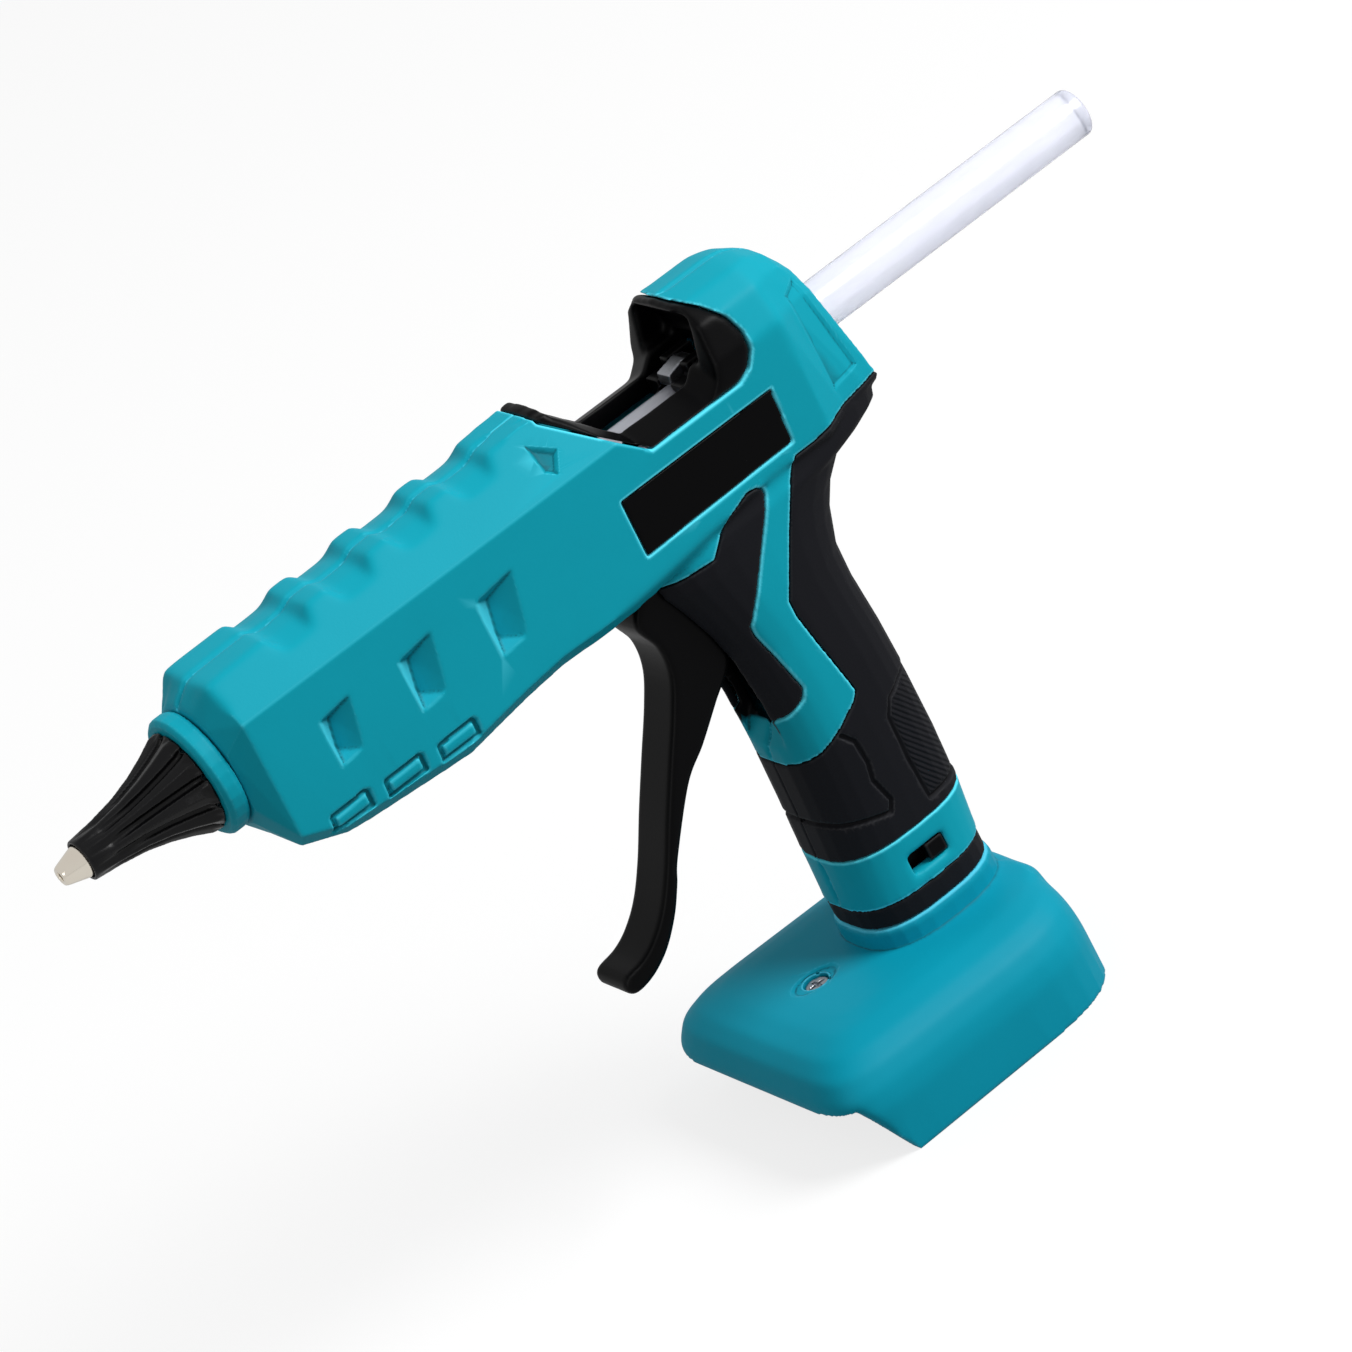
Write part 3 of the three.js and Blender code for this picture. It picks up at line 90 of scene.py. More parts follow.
class GlueGunLooks(bpy.types.PropertyGroup):
    """Sizes of the fine detail and the colours of the finishes."""

    shell_voxel: bpy.props.FloatProperty(
        name="Shell detail", description="Grid size that the big shells are smoothed on",
        default=0.4 * MM, min=0.2 * MM, max=2 * MM, unit="LENGTH", precision=5,
    )
    fine_voxel: bpy.props.FloatProperty(
        name="Fine detail", description="Grid size that the small mouldings are smoothed on",
        default=0.35 * MM, min=0.15 * MM, max=1 * MM, unit="LENGTH", precision=5,
    )
    grip_voxel: bpy.props.FloatProperty(
        name="Grip detail", description="Grid size that carries the ribs of the palm pads",
        default=0.32 * MM, min=0.15 * MM, max=1 * MM, unit="LENGTH", precision=5,
    )
    metal_voxel: bpy.props.FloatProperty(
        name="Metal detail", description="Grid size that the small metal parts are smoothed on",
        default=0.25 * MM, min=0.1 * MM, max=1 * MM, unit="LENGTH", precision=5,
    )
    rib_pitch: bpy.props.FloatProperty(
        name="Rib pitch", description="Distance between the ribs of the palm pads",
        default=1.05 * MM, min=0.5 * MM, max=4 * MM, unit="LENGTH", precision=5,
    )
    shell_colour: bpy.props.FloatVectorProperty(
        name="Shell", description="Colour of the housing halves and the nose ring",
        default=linear("0ba5ba"), size=3, min=0, max=1, subtype="COLOR",
    )
    base_colour: bpy.props.FloatVectorProperty(
        name="Base", description="Colour of the battery shoe",
        default=linear("0599b3"), size=3, min=0, max=1, subtype="COLOR",
    )
    grip_colour: bpy.props.FloatVectorProperty(
        name="Grip", description="Colour of the soft overmould",
        default=linear("121318"), size=3, min=0, max=1, subtype="COLOR",
    )
    trim_colour: bpy.props.FloatVectorProperty(
        name="Trim", description="Colour of the trigger, the window frame and the rails",
        default=linear("020203"), size=3, min=0, max=1, subtype="COLOR",
    )


# Materials

# Attributes that the mouldings carry: LIP_HIGHLIGHT, above 0 for a painted highlight where thin plastic
# catches the light, beside a part let in or on a pocket's wedge; CURVATURE, the curvature, above 0 on outer
# edges and below 0 in creases, which the finishes turn into a painted highlight on edges and a painted shade
# in creases; LINER_AND_SHADE, 1 where black overmould lines the shell and for a painted shade in the lever's
# slot; HOLLOW, 1 for a painted shade where the light hardly reaches; and PAD, 1 on the ribbed pads
LIP_HIGHLIGHT = "lip"
CURVATURE = "curvature"
LINER_AND_SHADE = "liner_and_shade"
HOLLOW = "hollow"
PAD = "pad"

# The curvatures at which the painted shade in a crease starts and is darkest, and the same for the painted
# highlight on edges
CREASE_CURVATURE = (-0.02, -0.14)
EDGE_CURVATURE = (0.04, 0.3)
# A finish's colour under the painted shade in a crease and in a hollow, as shares of its own, and how much
# paler the painted highlight makes its edges
CREASE_SHADE = 0.3
HOLLOW_SHADE = 0.35
EDGE_GAIN = 1.9
EDGE_LIFT = 0.1
# The sockets of a colour Mix node
SHARE, UNDER, OVER, MIXED = 0, 6, 7, 2


def add(tree, kind, inputs=None, **settings):
    """Adds one node, sets its properties, and fills its sockets with values or with other sockets."""
    node = tree.nodes.new(kind)
    for name, value in settings.items():
        setattr(node, name, value)
    for name, value in (inputs or {}).items():
        if isinstance(value, bpy.types.NodeSocket):
            tree.links.new(value, node.inputs[name])
        else:
            node.inputs[name].default_value = value
    return node


def finish(name, colour, **sockets):
    """A material whose principled shader has these socket values; returns it, its tree, its shader and the
    socket that gives places on the piece."""
    material = bpy.data.materials.new(name)
    material.use_nodes = True
    tree = material.node_tree
    shader = tree.nodes["Principled BSDF"]
    shader.inputs["Base Color"].default_value = (*colour, 1)
    for socket, value in sockets.items():
        shader.inputs[socket.replace("_", " ")].default_value = value
    place = add(tree, "ShaderNodeTexCoord").outputs["Object"]
    return material, tree, shader, place


def mottled(tree, shader, colour, place, grain, spread, edge=0.0, crease=0.0):
    """Colour that drifts over the surface, a painted highlight by edge on outer edges and painted shade by
    crease in creases.
    """
    drift = add(tree, "ShaderNodeTexNoise", {"Vector": place, "Scale": 1 / grain, "Detail": 3.0})
    low = [c * (1 - spread) for c in colour]
    high = [min(1, c * (1 + spread)) for c in colour]
    shade = add(tree, "ShaderNodeMix", {
        SHARE: drift.outputs["Fac"], UNDER: (*low, 1), OVER: (*high, 1),
    }, data_type="RGBA").outputs[MIXED]
    curvature = add(tree, "ShaderNodeAttribute", attribute_name=CURVATURE).outputs["Fac"]
    # Painted shade in the creases
    if crease:
        start, full = CREASE_CURVATURE
        deep = add(tree, "ShaderNodeMapRange", {
            "Value": curvature, "From Min": start, "From Max": full, "To Max": crease,
        })
        shade = add(tree, "ShaderNodeMix", {
            SHARE: deep.outputs["Result"], UNDER: shade, OVER: (*[c * CREASE_SHADE for c in colour], 1),
        }, data_type="RGBA").outputs[MIXED]
    # Painted highlight on outer edges and where LIP_HIGHLIGHT is painted
    if edge:
        start, full = EDGE_CURVATURE
        highlit_edge = add(tree, "ShaderNodeMapRange", {
            "Value": curvature, "From Min": start, "From Max": full, "To Max": edge,
        })
        lip = add(tree, "ShaderNodeAttribute", attribute_name=LIP_HIGHLIGHT)
        pale = add(tree, "ShaderNodeMath", {
            0: highlit_edge.outputs["Result"], 1: lip.outputs["Fac"],
        }, operation="MAXIMUM")
        paler = [min(1, EDGE_GAIN * c + EDGE_LIFT) for c in colour]
        shade = add(tree, "ShaderNodeMix", {
            SHARE: pale.outputs[0], UNDER: shade, OVER: (*paler, 1),
        }, data_type="RGBA").outputs[MIXED]
    tree.links.new(shade, shader.inputs["Base Color"])
    return shade


def grained(tree, shader, place, size, height, spread=0.0):
    """Fine moulded grain of that size and height; the shader's roughness varies with it by spread."""
    grit = add(tree, "ShaderNodeTexNoise", {
        "Vector": place, "Scale": 1 / size, "Detail": 2.0, "Roughness": 0.6,
    })
    bump = add(tree, "ShaderNodeBump", {"Height": grit.outputs["Fac"], "Distance": height, "Strength": 0.6})
    tree.links.new(bump.outputs["Normal"], shader.inputs["Normal"])
    if spread:
        roughness = shader.inputs["Roughness"].default_value
        gloss = add(tree, "ShaderNodeMapRange", {
            "Value": grit.outputs["Fac"], "To Min": roughness - spread, "To Max": roughness + spread,
        })
        tree.links.new(gloss.outputs["Result"], shader.inputs["Roughness"])


def teal_abs(name, colour, liner_and_shade):
    """Injection-moulded ABS with a fine spark-eroded grain: an even satin with soft wide highlights."""
    material, tree, shader, place = finish(name, colour, Roughness=0.52, IOR=1.54, Specular_IOR_Level=0.1)
    # Painted highlight on outer edges and painted shade in creases
    shade = mottled(tree, shader, colour, place, 24 * MM, spread=0.05, edge=0.6, crease=0.85)
    # Painted shade in the hollows, and black where the overmould lines the shell and as painted shade in the
    # lever's slot
    for mark, over in ((HOLLOW, [c * HOLLOW_SHADE for c in colour]), (LINER_AND_SHADE, liner_and_shade)):
        share = add(tree, "ShaderNodeAttribute", attribute_name=mark)
        shade = add(tree, "ShaderNodeMix", {
            SHARE: share.outputs["Fac"], UNDER: shade, OVER: (*over, 1),
        }, data_type="RGBA").outputs[MIXED]
    tree.links.new(shade, shader.inputs["Base Color"])
    # Real spark grain is about 0.1 mm; drawn at 0.5 mm so that it shows
    grained(tree, shader, place, 0.5 * MM, 0.03 * MM, spread=0.04)
    return material


def soft_tpe(name, colour, pitch):
    """Overmoulded thermoplastic rubber: dry, dark and almost without a highlight."""
    material, tree, shader, place = finish(name, colour, Roughness=0.66, IOR=1.5, Specular_IOR_Level=0.12)
    # Painted highlight on outer edges and painted shade in creases
    mottled(tree, shader, colour, place, 15 * MM, spread=0.08, edge=0.2, crease=0.7)
    # Real leather-like grain is about 0.2 mm; drawn at 0.6 mm so that it shows
    grit = add(tree, "ShaderNodeTexNoise", {"Vector": place, "Scale": 1 / (0.6 * MM), "Detail": 2.0})
    leather = add(tree, "ShaderNodeBump", {
        "Height": grit.outputs["Fac"], "Distance": 0.05 * MM, "Strength": 0.6,
    })
    lean = add(tree, "ShaderNodeMapping", {"Vector": place, "Rotation": (0, RIB_LEAN, 0)})
    # At scale 1, the bands of a Wave texture are tau / 20 apart
    ribs = add(tree, "ShaderNodeTexWave", {
        "Vector": lean.outputs["Vector"], "Scale": math.tau / 20 / pitch, "Distortion": 0.6, "Detail": 0.0,
    }, bands_direction="X")
    pad = add(tree, "ShaderNodeAttribute", attribute_name=PAD)
    height = add(tree, "ShaderNodeMath", {
        0: ribs.outputs["Fac"], 1: pad.outputs["Fac"],
    }, operation="MULTIPLY")
    bump = add(tree, "ShaderNodeBump", {
        "Height": height.outputs[0], "Distance": 0.3 * MM, "Normal": leather.outputs["Normal"],
    })
    tree.links.new(bump.outputs["Normal"], shader.inputs["Normal"])
    return material


def black_nylon(name, colour):
    """Glass-filled nylon, moulded satin: deep black with a soft sheen along its edges, partly a painted
    highlight.
    """
    material, tree, shader, place = finish(name, colour, Roughness=0.38, IOR=1.53, Specular_IOR_Level=0.07)
    # Painted highlight on outer edges and painted shade in creases
    mottled(tree, shader, colour, place, 12 * MM, spread=0.1, edge=0.35, crease=0.5)
    grained(tree, shader, place, 0.5 * MM, 0.02 * MM, spread=0.04)
    return material


def gloss_film(name):
    """Printed polyester label film left bare: smooth, black and glossy."""
    colour = linear("040405")
    material, tree, shader, place = finish(name, colour, Roughness=0.22, IOR=1.5, Specular_IOR_Level=0.06)
    grained(tree, shader, place, 3 * MM, 0.01 * MM, spread=0.03)
    return material


def silicone(name, code, roughness):
    """Cast silicone rubber: dark, slightly waxy, with a soft broad sheen."""
    colour = linear(code)
    material, tree, shader, place = finish(
        name, colour, Roughness=roughness, IOR=1.41, Specular_IOR_Level=0.3,
    )
    # Painted highlight on outer edges and painted shade in creases
    mottled(tree, shader, colour, place, 8 * MM, spread=0.1, edge=0.25, crease=0.6)
    grained(tree, shader, place, 0.8 * MM, 0.03 * MM, spread=0.04)
    return material


def metal(name, code, roughness, spacing, stretch=(1, 1, 1)):
    """Bare metal with fine tool marks, stretched along the way that it was turned or drawn."""
    colour = linear(code)
    material, tree, shader, place = finish(name, colour, Metallic=1.0, Roughness=roughness)
    marks = add(tree, "ShaderNodeMapping", {"Vector": place, "Scale": stretch})
    mottled(tree, shader, colour, place, 6 * MM, spread=0.06)
    grained(tree, shader, marks.outputs["Vector"], spacing, 0.01 * MM, spread=0.08)
    return material


def ceramic(name):
    """Pressed ceramic heater: chalky off-white with small dark specks."""
    colour = linear("d8d4c8")
    material, tree, shader, place = finish(name, colour, Roughness=0.7)
    mottled(tree, shader, colour, place, 1 * MM, spread=0.12)
    grained(tree, shader, place, 0.4 * MM, 0.02 * MM)
    return material


def circuit_board(name):
    """Glass-fibre board under green solder resist: glossy, with a faint woven pattern."""
    colour = linear("1f6b3a")
    material, tree, shader, place = finish(name, colour, Roughness=0.3, IOR=1.55)
    weave = add(tree, "ShaderNodeTexChecker", {
        "Vector": place, "Scale": 1 / (0.8 * MM),
        "Color1": (*colour, 1), "Color2": (*[c * 0.75 for c in colour], 1),
    })
    tree.links.new(weave.outputs["Color"], shader.inputs["Base Color"])
    return material


def wire_sheath(name, code):
    """Drawn silicone wire sheath: smooth with a soft gloss."""
    colour = linear(code)
    material, tree, shader, place = finish(name, colour, Roughness=0.4)
    mottled(tree, shader, colour, place, 4 * MM, spread=0.06)
    grained(tree, shader, place, 0.5 * MM, 0.01 * MM)
    return material


def hot_melt(name):
    """Cast EVA glue stick: milky clear, with a cold tint and a waxy gloss."""
    colour = linear("f0f2ff")
    material, tree, shader, place = finish(name, colour, Roughness=0.2, IOR=1.48, Transmission_Weight=0.62)
    mottled(tree, shader, colour, place, 9 * MM, spread=0.04)
    grained(tree, shader, place, 2.5 * MM, 0.03 * MM, spread=0.06)
    return material


MATERIALS = {}


def make_materials(looks):
    """Every finish of the gun, under its slot's name."""
    MATERIALS.update({
        "teal_shell": teal_abs("moulded teal ABS", list(looks.shell_colour), list(looks.trim_colour)),
        "teal_base": teal_abs("moulded teal ABS, base", list(looks.base_colour), list(looks.trim_colour)),
        "black_grip": soft_tpe("overmoulded black TPE", list(looks.grip_colour), looks.rib_pitch),
        "black_plastic": black_nylon("moulded black nylon", list(looks.trim_colour)),
        "gloss_plate": gloss_film("black polyester film"),
        "silicone_boot": silicone("cast black silicone", "08080a", 0.28),
        "heat_silicone": silicone("cast grey silicone", "2b2a2c", 0.5),
        "brass": metal("turned nickel-brass", "fff3e4", 0.1, 0.15 * MM, (8, 1, 1)),
        "aluminium": metal("die-cast aluminium", "b9bcc1", 0.42, 0.6 * MM),
        "steel": metal("zinc-plated steel", "9fa2a8", 0.3, 0.3 * MM, (1, 1, 6)),
        "ceramic": ceramic("pressed ceramic"),
        "board": circuit_board("solder-resist board"),
        "red_lead": wire_sheath("red wire sheath", "b01e1e"),
        "black_lead": wire_sheath("black wire sheath", "161616"),
        "clear_glue": hot_melt("cast EVA glue"),
    })


# Modelling helpers

BODY_OF = {node: body for body, nodes in frame["record"]["behaviour"]["bodies"].items() for node in nodes}
SLOT_OF = {row["node"]: row["material_slot"] for row in frame["record"]["subparts"]}

MERGE_DISTANCE = 0.002 * MM
# An edge is sharp where its faces turn by more than this
SHARP_ANGLE = math.radians(35)
TURNED_SHARP_ANGLE = math.radians(28)
TURNED_STEPS = 64
# Softening and rounding off go half of the way to the neighbours in each pass
PASS_FACTOR = 0.5
SOFT_LEVELS = 10


def welded(node):
    """A bmesh of a CAD node, its loose triangles merged and its stored normals and maps left out."""
    form = bmesh.new()
    form.from_mesh(frame["nodes"][node].data)
    bmesh.ops.remove_doubles(form, verts=form.verts, dist=MERGE_DISTANCE)
    for layers in (form.loops.layers.float_vector, form.loops.layers.uv):
        for layer in list(layers.values()):
            layers.remove(layer)
    return form


def placed(form, name, slot, turn=SHARP_ANGLE):
    """Ends a bmesh as an object at the origin with that slot's finish, smooth but for its sharp edges."""
    for face in form.faces:
        face.smooth = True
        face.material_index = 0
    for edge in form.edges:
        edge.smooth = edge.calc_face_angle(0) < turn
    mesh = bpy.data.meshes.new(name)
    form.to_mesh(mesh)
    form.free()
    mesh.materials.clear()
    mesh.materials.append(MATERIALS[slot])
    piece = bpy.data.objects.new(name, mesh)
    bpy.context.scene.collection.objects.link(piece)
    return piece


def applied(piece):
    """Turns a piece's modifiers into its mesh."""
    graph = bpy.context.evaluated_depsgraph_get()
    mesh = bpy.data.meshes.new_from_object(piece.evaluated_get(graph))
    piece.modifiers.clear()
    piece.data = mesh


def reshaped(piece, move_at):
    """Moves each point of a piece by move_at(place, normal), a vector in millimetres or None."""
    form = bmesh.new()
    form.from_mesh(piece.data)
    form.normal_update()
    moves = [(vert, move_at(gun_mm(vert.co), vert.normal)) for vert in form.verts]
    for vert, move in moves:
        if move:
            vert.co += move * MM
    form.to_mesh(piece.data)
    form.free()


def sculpted(piece, depth_at):
    """Sinks each point of a piece along its normal by depth_at(place, normal), in millimetres."""
    reshaped(piece, lambda place, normal: -normal * depth_at(place, normal))


def softened(piece, passes, share_at):
    """Evens out a piece's facets, most where share_at(place, normal) is 1."""
    group = piece.vertex_groups.new(name="soft")
    levels = [[] for _ in range(SOFT_LEVELS + 1)]
    for vert in piece.data.vertices:
        levels[round(SOFT_LEVELS * share_at(gun_mm(vert.co), vert.normal))].append(vert.index)
    for level, indices in enumerate(levels[1:], 1):
        group.add(indices, level / SOFT_LEVELS, "REPLACE")
    soft = piece.modifiers.new("soft", "SMOOTH")
    soft.factor = PASS_FACTOR
    soft.iterations = passes
    soft.vertex_group = "soft"
    applied(piece)
    piece.vertex_groups.clear()


def painted(piece, name, share_at):
    """Stores share_at(place, normal) on each point of a piece under a name that its finish reads."""
    layer = piece.data.attributes.new(name, "FLOAT", "POINT")
    shares = [share_at(gun_mm(vert.co), vert.normal) for vert in piece.data.vertices]
    layer.data.foreach_set("value", shares)


def mark_curvature(piece):
    """Stores how far each point stands out from its neighbours, as the sine of the slope to them."""
    form = bmesh.new()
    form.from_mesh(piece.data)
    form.normal_update()
    layer = form.verts.layers.float.new(CURVATURE)
    for vert in form.verts:
        ways = [vert.co - edge.other_vert(vert).co for edge in vert.link_edges]
        slopes = [vert.normal.dot(way.normalized()) for way in ways]
        vert[layer] = sum(slopes) / max(1, len(slopes))
    form.to_mesh(piece.data)
    form.free()


def gap_to(nodes, reach):
    """A function that gives the gap from a place to the nearest of these CAD nodes, up to reach, all in
    millimetres."""
    trees = []
    for node in nodes:
        form = welded(node)
        trees.append(BVHTree.FromBMesh(form))
        form.free()

    def gap(place):
        spot = at(*place)
        near = [tree.find_nearest(spot, reach * MM)[3] for tree in trees]
        return min([found / MM for found in near if found is not None], default=reach)

    return gap


def ramp(value, low, high):
    """0 below low, 1 above high, and straight in between."""
    return min(1, max(0, (value - low) / (high - low)))


def gridded(node, voxel):
    piece = placed(welded(node), node + "_moulding", SLOT_OF[node])
    grid = piece.modifiers.new("grid", "REMESH")
    grid.mode = "VOXEL"
    grid.voxel_size = voxel
    grid.use_smooth_shade = True
    applied(piece)
    return piece


def moulded(node, voxel, passes, keep=1.0, rework=None, detail=None, marks=None):
    """A CAD node as a fine moulding, its edges rounded by passes; keep is the share of triangles that stay.
    rework changes its form before that rounding, detail after it, and marks paints the finished mesh."""
    piece = gridded(node, voxel)
    if rework:
        rework(piece)
    round_off = piece.modifiers.new("round off", "SMOOTH")
    round_off.factor = PASS_FACTOR
    round_off.iterations = passes
    applied(piece)
    if detail:
        sculpted(piece, detail)
    # The curvature, from which the finishes paint highlights on edges and shade in creases
    mark_curvature(piece)
    if keep < 1:
        thin = piece.modifiers.new("thin", "DECIMATE")
        thin.ratio = keep
        applied(piece)
    if marks:
        marks(piece)
    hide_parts(node)
    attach(piece, BODY_OF[node])


def turned(name, node, profile):
    """A part turned about the barrel axis from a profile of places along it and radii, in millimetres; the
    profile starts and ends on the axis."""
    form = bmesh.new()
    ring = [form.verts.new(at(x, 0, radius)) for x, radius in profile]
    edges = [form.edges.new((a, b)) for a, b in zip(ring, ring[1:])]
    bmesh.ops.spin(
        form, geom=ring + edges, cent=GUN, axis=(1, 0, 0), angle=math.tau, steps=TURNED_STEPS, use_merge=True,
    )
    bmesh.ops.remove_doubles(form, verts=form.verts, dist=MERGE_DISTANCE / 2)
    bmesh.ops.recalc_face_normals(form, faces=form.faces)
    piece = placed(form, name, SLOT_OF[node], turn=TURNED_SHARP_ANGLE)
    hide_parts(node)
    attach(piece, BODY_OF[node])


# Relief of the mouldings, in the gun's own frame and in millimetres. A pair of values in the code below is
# where an effect starts and where it is full; outlines and lines are places in the side view, tested only
# within BOX_MARGIN of their boxes
BOX_MARGIN = 1

# Edges of the teal shells: the painted highlight beside a part let in, and the seam between the halves
LIP_REACH = 0.9
LIP_FULL = 0.45
SEAM_HALF = 0.06
SEAM_REACH = 0.35

# Stretches of the shells that are evened out: grip core, roof and tail, each away from the parts let in. Past
# TAIL_FLARE, the tail's walls face backwards too
SHELL_PASSES = 60
CORE_TOP = 12
CORE_DROP = (12, 16)
CORE_FRONT = (-38, -34)
ROOF_AHEAD = (36, 40)
ROOF_LEVEL = (12.5, 14.5)
TAIL_BEHIND = (8, 12)
TAIL_LEVEL = (-2, 4)
TAIL_FLARE = 20
TAIL_END = 32
TAIL_FADE = 4
LET_IN_GAP = (0.9, 2.4)
LET_IN_REACH = 3

# Panels on the rear corners, notches in front of the window, the painted shade in the notches, and the slope
# of their edges
TAIL_PANEL = [(30, 12.3), (30.4, -11.5), (39.2, -11.3), (34.8, 13.3)]
PANEL_DEPTH = 0.45
WINDOW_NOTCH = [(-35, 19), (-29.8, 15.4), (-33.7, 11.9), (-35.8, 13.5)]
NOTCH_DEPTH = 0.8
NOTCH_SHADE = 0.75
EDGE_RUN = 0.9

# Front wedges of the side pockets, each larger than the one in front of it, all inside a box that is given
# by its front, rear, bottom and top, and the painted highlight on them
POCKETS = 3
POCKET_START = -105.7
POCKET_PITCH = 20.4
POCKET_GROWTH = 0.12
POCKET_WEDGE = [(0.9, 1.2), (4.4, -1.2), (3, -7.8), (0.9, -11.8)]
POCKET_BOX = (-106, -35, -20, 6)
WEDGE_PALE = 0.5
WEDGE_FADE = 0.5

# Black lining of the lever's slot, partly overmould and partly painted shade on the slot's walls
LINER_HALF = 8.3
LINER_REACH = 12
LINER_FADE = 0.4
LINER_FACING = (0.3, 0.5)
LINER_TOP = (20, 21)
LINER_END = (-70, -69.4)

# Grooves and ribbed pads of the grips
GRIP_TOP = -68
GROOVE_HALF = 0.65
GROOVE_DEPTH = 0.75
PAD_SINK = 0.25
PAD_FADE = 0.3
RIB_LEAN = math.radians(37)
PAD_OUTLINE = [
    (30, -73), (13.9, -73.4), (8.8, -75.2), (6.6, -78.4), (6.2, -89.2), (6.7, -99.6), (30, -101),
]
PALM_GROOVE = [
    (-5, -75.2), (-2.9, -78), (-2.5, -83.8), (-3.3, -88), (-1.6, -94.2), (-2.9, -96.6), (-12.8, -94.2),
    (-22.3, -90),
]

# The lever's side view, and how far from it points follow its bends
TRIGGER_OUTLINE = [
    (-19, -18.5), (-25, -23.5), (-30.5, -30.5), (-28.3, -38), (-29, -44.7), (-32.6, -51.7), (-38.6, -60.9),
    (-44.6, -70.2), (-50.4, -79.6), (-55.3, -86.2), (-60, -90.4), (-64.3, -92.6), (-69, -93.5), (-70.5, -95),
    (-70.2, -97.2), (-68, -98.2), (-63.2, -97.2), (-58, -94.2), (-53, -89.2), (-49.2, -83.8),
    (-46.2, -78.8), (-36.4, -66.8), (-29.5, -61.7), (-22.5, -55.8), (-15.5, -49.8), (-13.5, -42),
    (-12.5, -30), (-12, -22),
]
TRIGGER_REACH = 7

# Hood of the window frame, rounder than the frame in front of it
HOOD_START = (-12, -8)
HOOD_PASSES = 60
FRAME_SHARE = 0.5

# Ring at the neck's foot, drawn in to stand off the band by RING_STAND
RING_HEIGHT = 6.5
RING_STAND = 0.7
RING_FLARE = 8
RING_FADE = 3
RING_FOOT = 0.8
RING_OVER = 1

# Stretches of the battery shoe that are evened out: its top, and its rear edge behind the ring
SHOE_PASSES = 80
SHOE_RISE = (5, 9)
SHOE_SHARE = 0.12
BAND_REACH = 8
OFF_RING = (4.5, 7.5)
BELOW_RING = (1.5, 4)
OFF_SCREW = (4.5, 7)
REAR_PASSES = 320
REAR_RUN = (1, 5)
REAR_RISE = (8, 14)

# Oval dish round the shoe's screw
DISH_LONG = 5.6
DISH_WIDE = 3.9
DISH_DEPTH = 0.5
DISH_RIM = 1.1
DISH_RUN = 0.2
DISH_FACING = 0.3

# Flutes of the nozzle's boot
FLUTES = 10
FLUTE_HALF = 0.9
FLUTE_DEPTH = 0.8
FLUTE_START = (5, 14)
FLUTE_END = -116
FLUTE_FADE = 4
BOOT_BORE = 4

# Cast edge of the stick, and the return spring's wire
STICK_ROUND = 0.9
STICK_STEPS = 6
SPRING_TURNS = 8
SPRING_WIRE = 0.9
WIRE_STEPS = 12
COIL_STEPS = 32


def off_line(x, z, line):
    """Distance in the side view from a point to a line of points."""
    best = math.inf
    for (ax, az), (bx, bz) in zip(line, line[1:]):
        run, rise = bx - ax, bz - az
        share = ((x - ax) * run + (z - az) * rise) / (run * run + rise * rise)
        share = min(1, max(0, share))
        best = min(best, math.hypot(x - ax - share * run, z - az - share * rise))
    return best


def near_box(x, z, line):
    """Whether a point is near the box of a line of points; a quick first test."""
    return (
        min(p[0] for p in line) - BOX_MARGIN < x < max(p[0] for p in line) + BOX_MARGIN
        and min(p[1] for p in line) - BOX_MARGIN < z < max(p[1] for p in line) + BOX_MARGIN
    )


def within(x, z, outline):
    """Whether a point lies inside an outline, both in the side view."""
    inside = False
    for (ax, az), (bx, bz) in zip(outline, outline[1:] + outline[:1]):
        if (az > z) != (bz > z) and x < ax + (z - az) / (bz - az) * (bx - ax):
            inside = not inside
    return inside


def dished(x, z, outline, depth):
    """Depth of a shallow panel with sloped edges at a point."""
    if not near_box(x, z, outline) or not within(x, z, outline):
        return 0
    return depth * min(1, off_line(x, z, outline + outline[:1]) / EDGE_RUN)


def groove(x, z, line):
    """Depth of a round-bottomed groove along a line at a point."""
    if not near_box(x, z, line):
        return 0
    return GROOVE_DEPTH * max(0, 1 - (off_line(x, z, line) / GROOVE_HALF) ** 2)


def bowed(outline, reach):
    """A move_at for reshaped() that bends an outline's straight stretches into one smooth closed curve."""
    count = len(outline)
    spots = [Vector(spot) for spot in outline]

    def move_at(place, normal):
        spot = Vector((place.x, place.z))
        best, found = reach, None
        for i in range(count):
            start, end = spots[i], spots[(i + 1) % count]
            way = end - start
            share = min(1, max(0, (spot - start).dot(way) / way.length_squared))
            gap = (spot - start - share * way).length
            if gap < best:
                best, found = gap, (i, share)
        if not found:
            return None
        i, t = found
        before, start, end, after = (spots[(i + k) % count] for k in (-1, 0, 1, 2))
        into = (end - before) / 2
        out = (after - start) / 2
        curve = (
            (2 * t**3 - 3 * t**2 + 1) * start + (t**3 - 2 * t**2 + t) * into
            + (3 * t**2 - 2 * t**3) * end + (t**3 - t**2) * out
        )
        shift = (curve - start.lerp(end, t)) * (1 - best / reach)
        return Vector((shift.x, 0, shift.y))

    return move_at


def shell_detail(place, normal):
    """The sunk panels on both rear corners and the notches in front of the window."""
    x, y, z = place
    if x > 0 and normal.x * (x - TAIL_FLARE) + normal.y * y > 0:
        return dished(x, z, TAIL_PANEL, PANEL_DEPTH)
    if x < 0 and normal.y * y + normal.z * z > 0:
        return dished(x, z, WINDOW_NOTCH, NOTCH_DEPTH)
    return 0


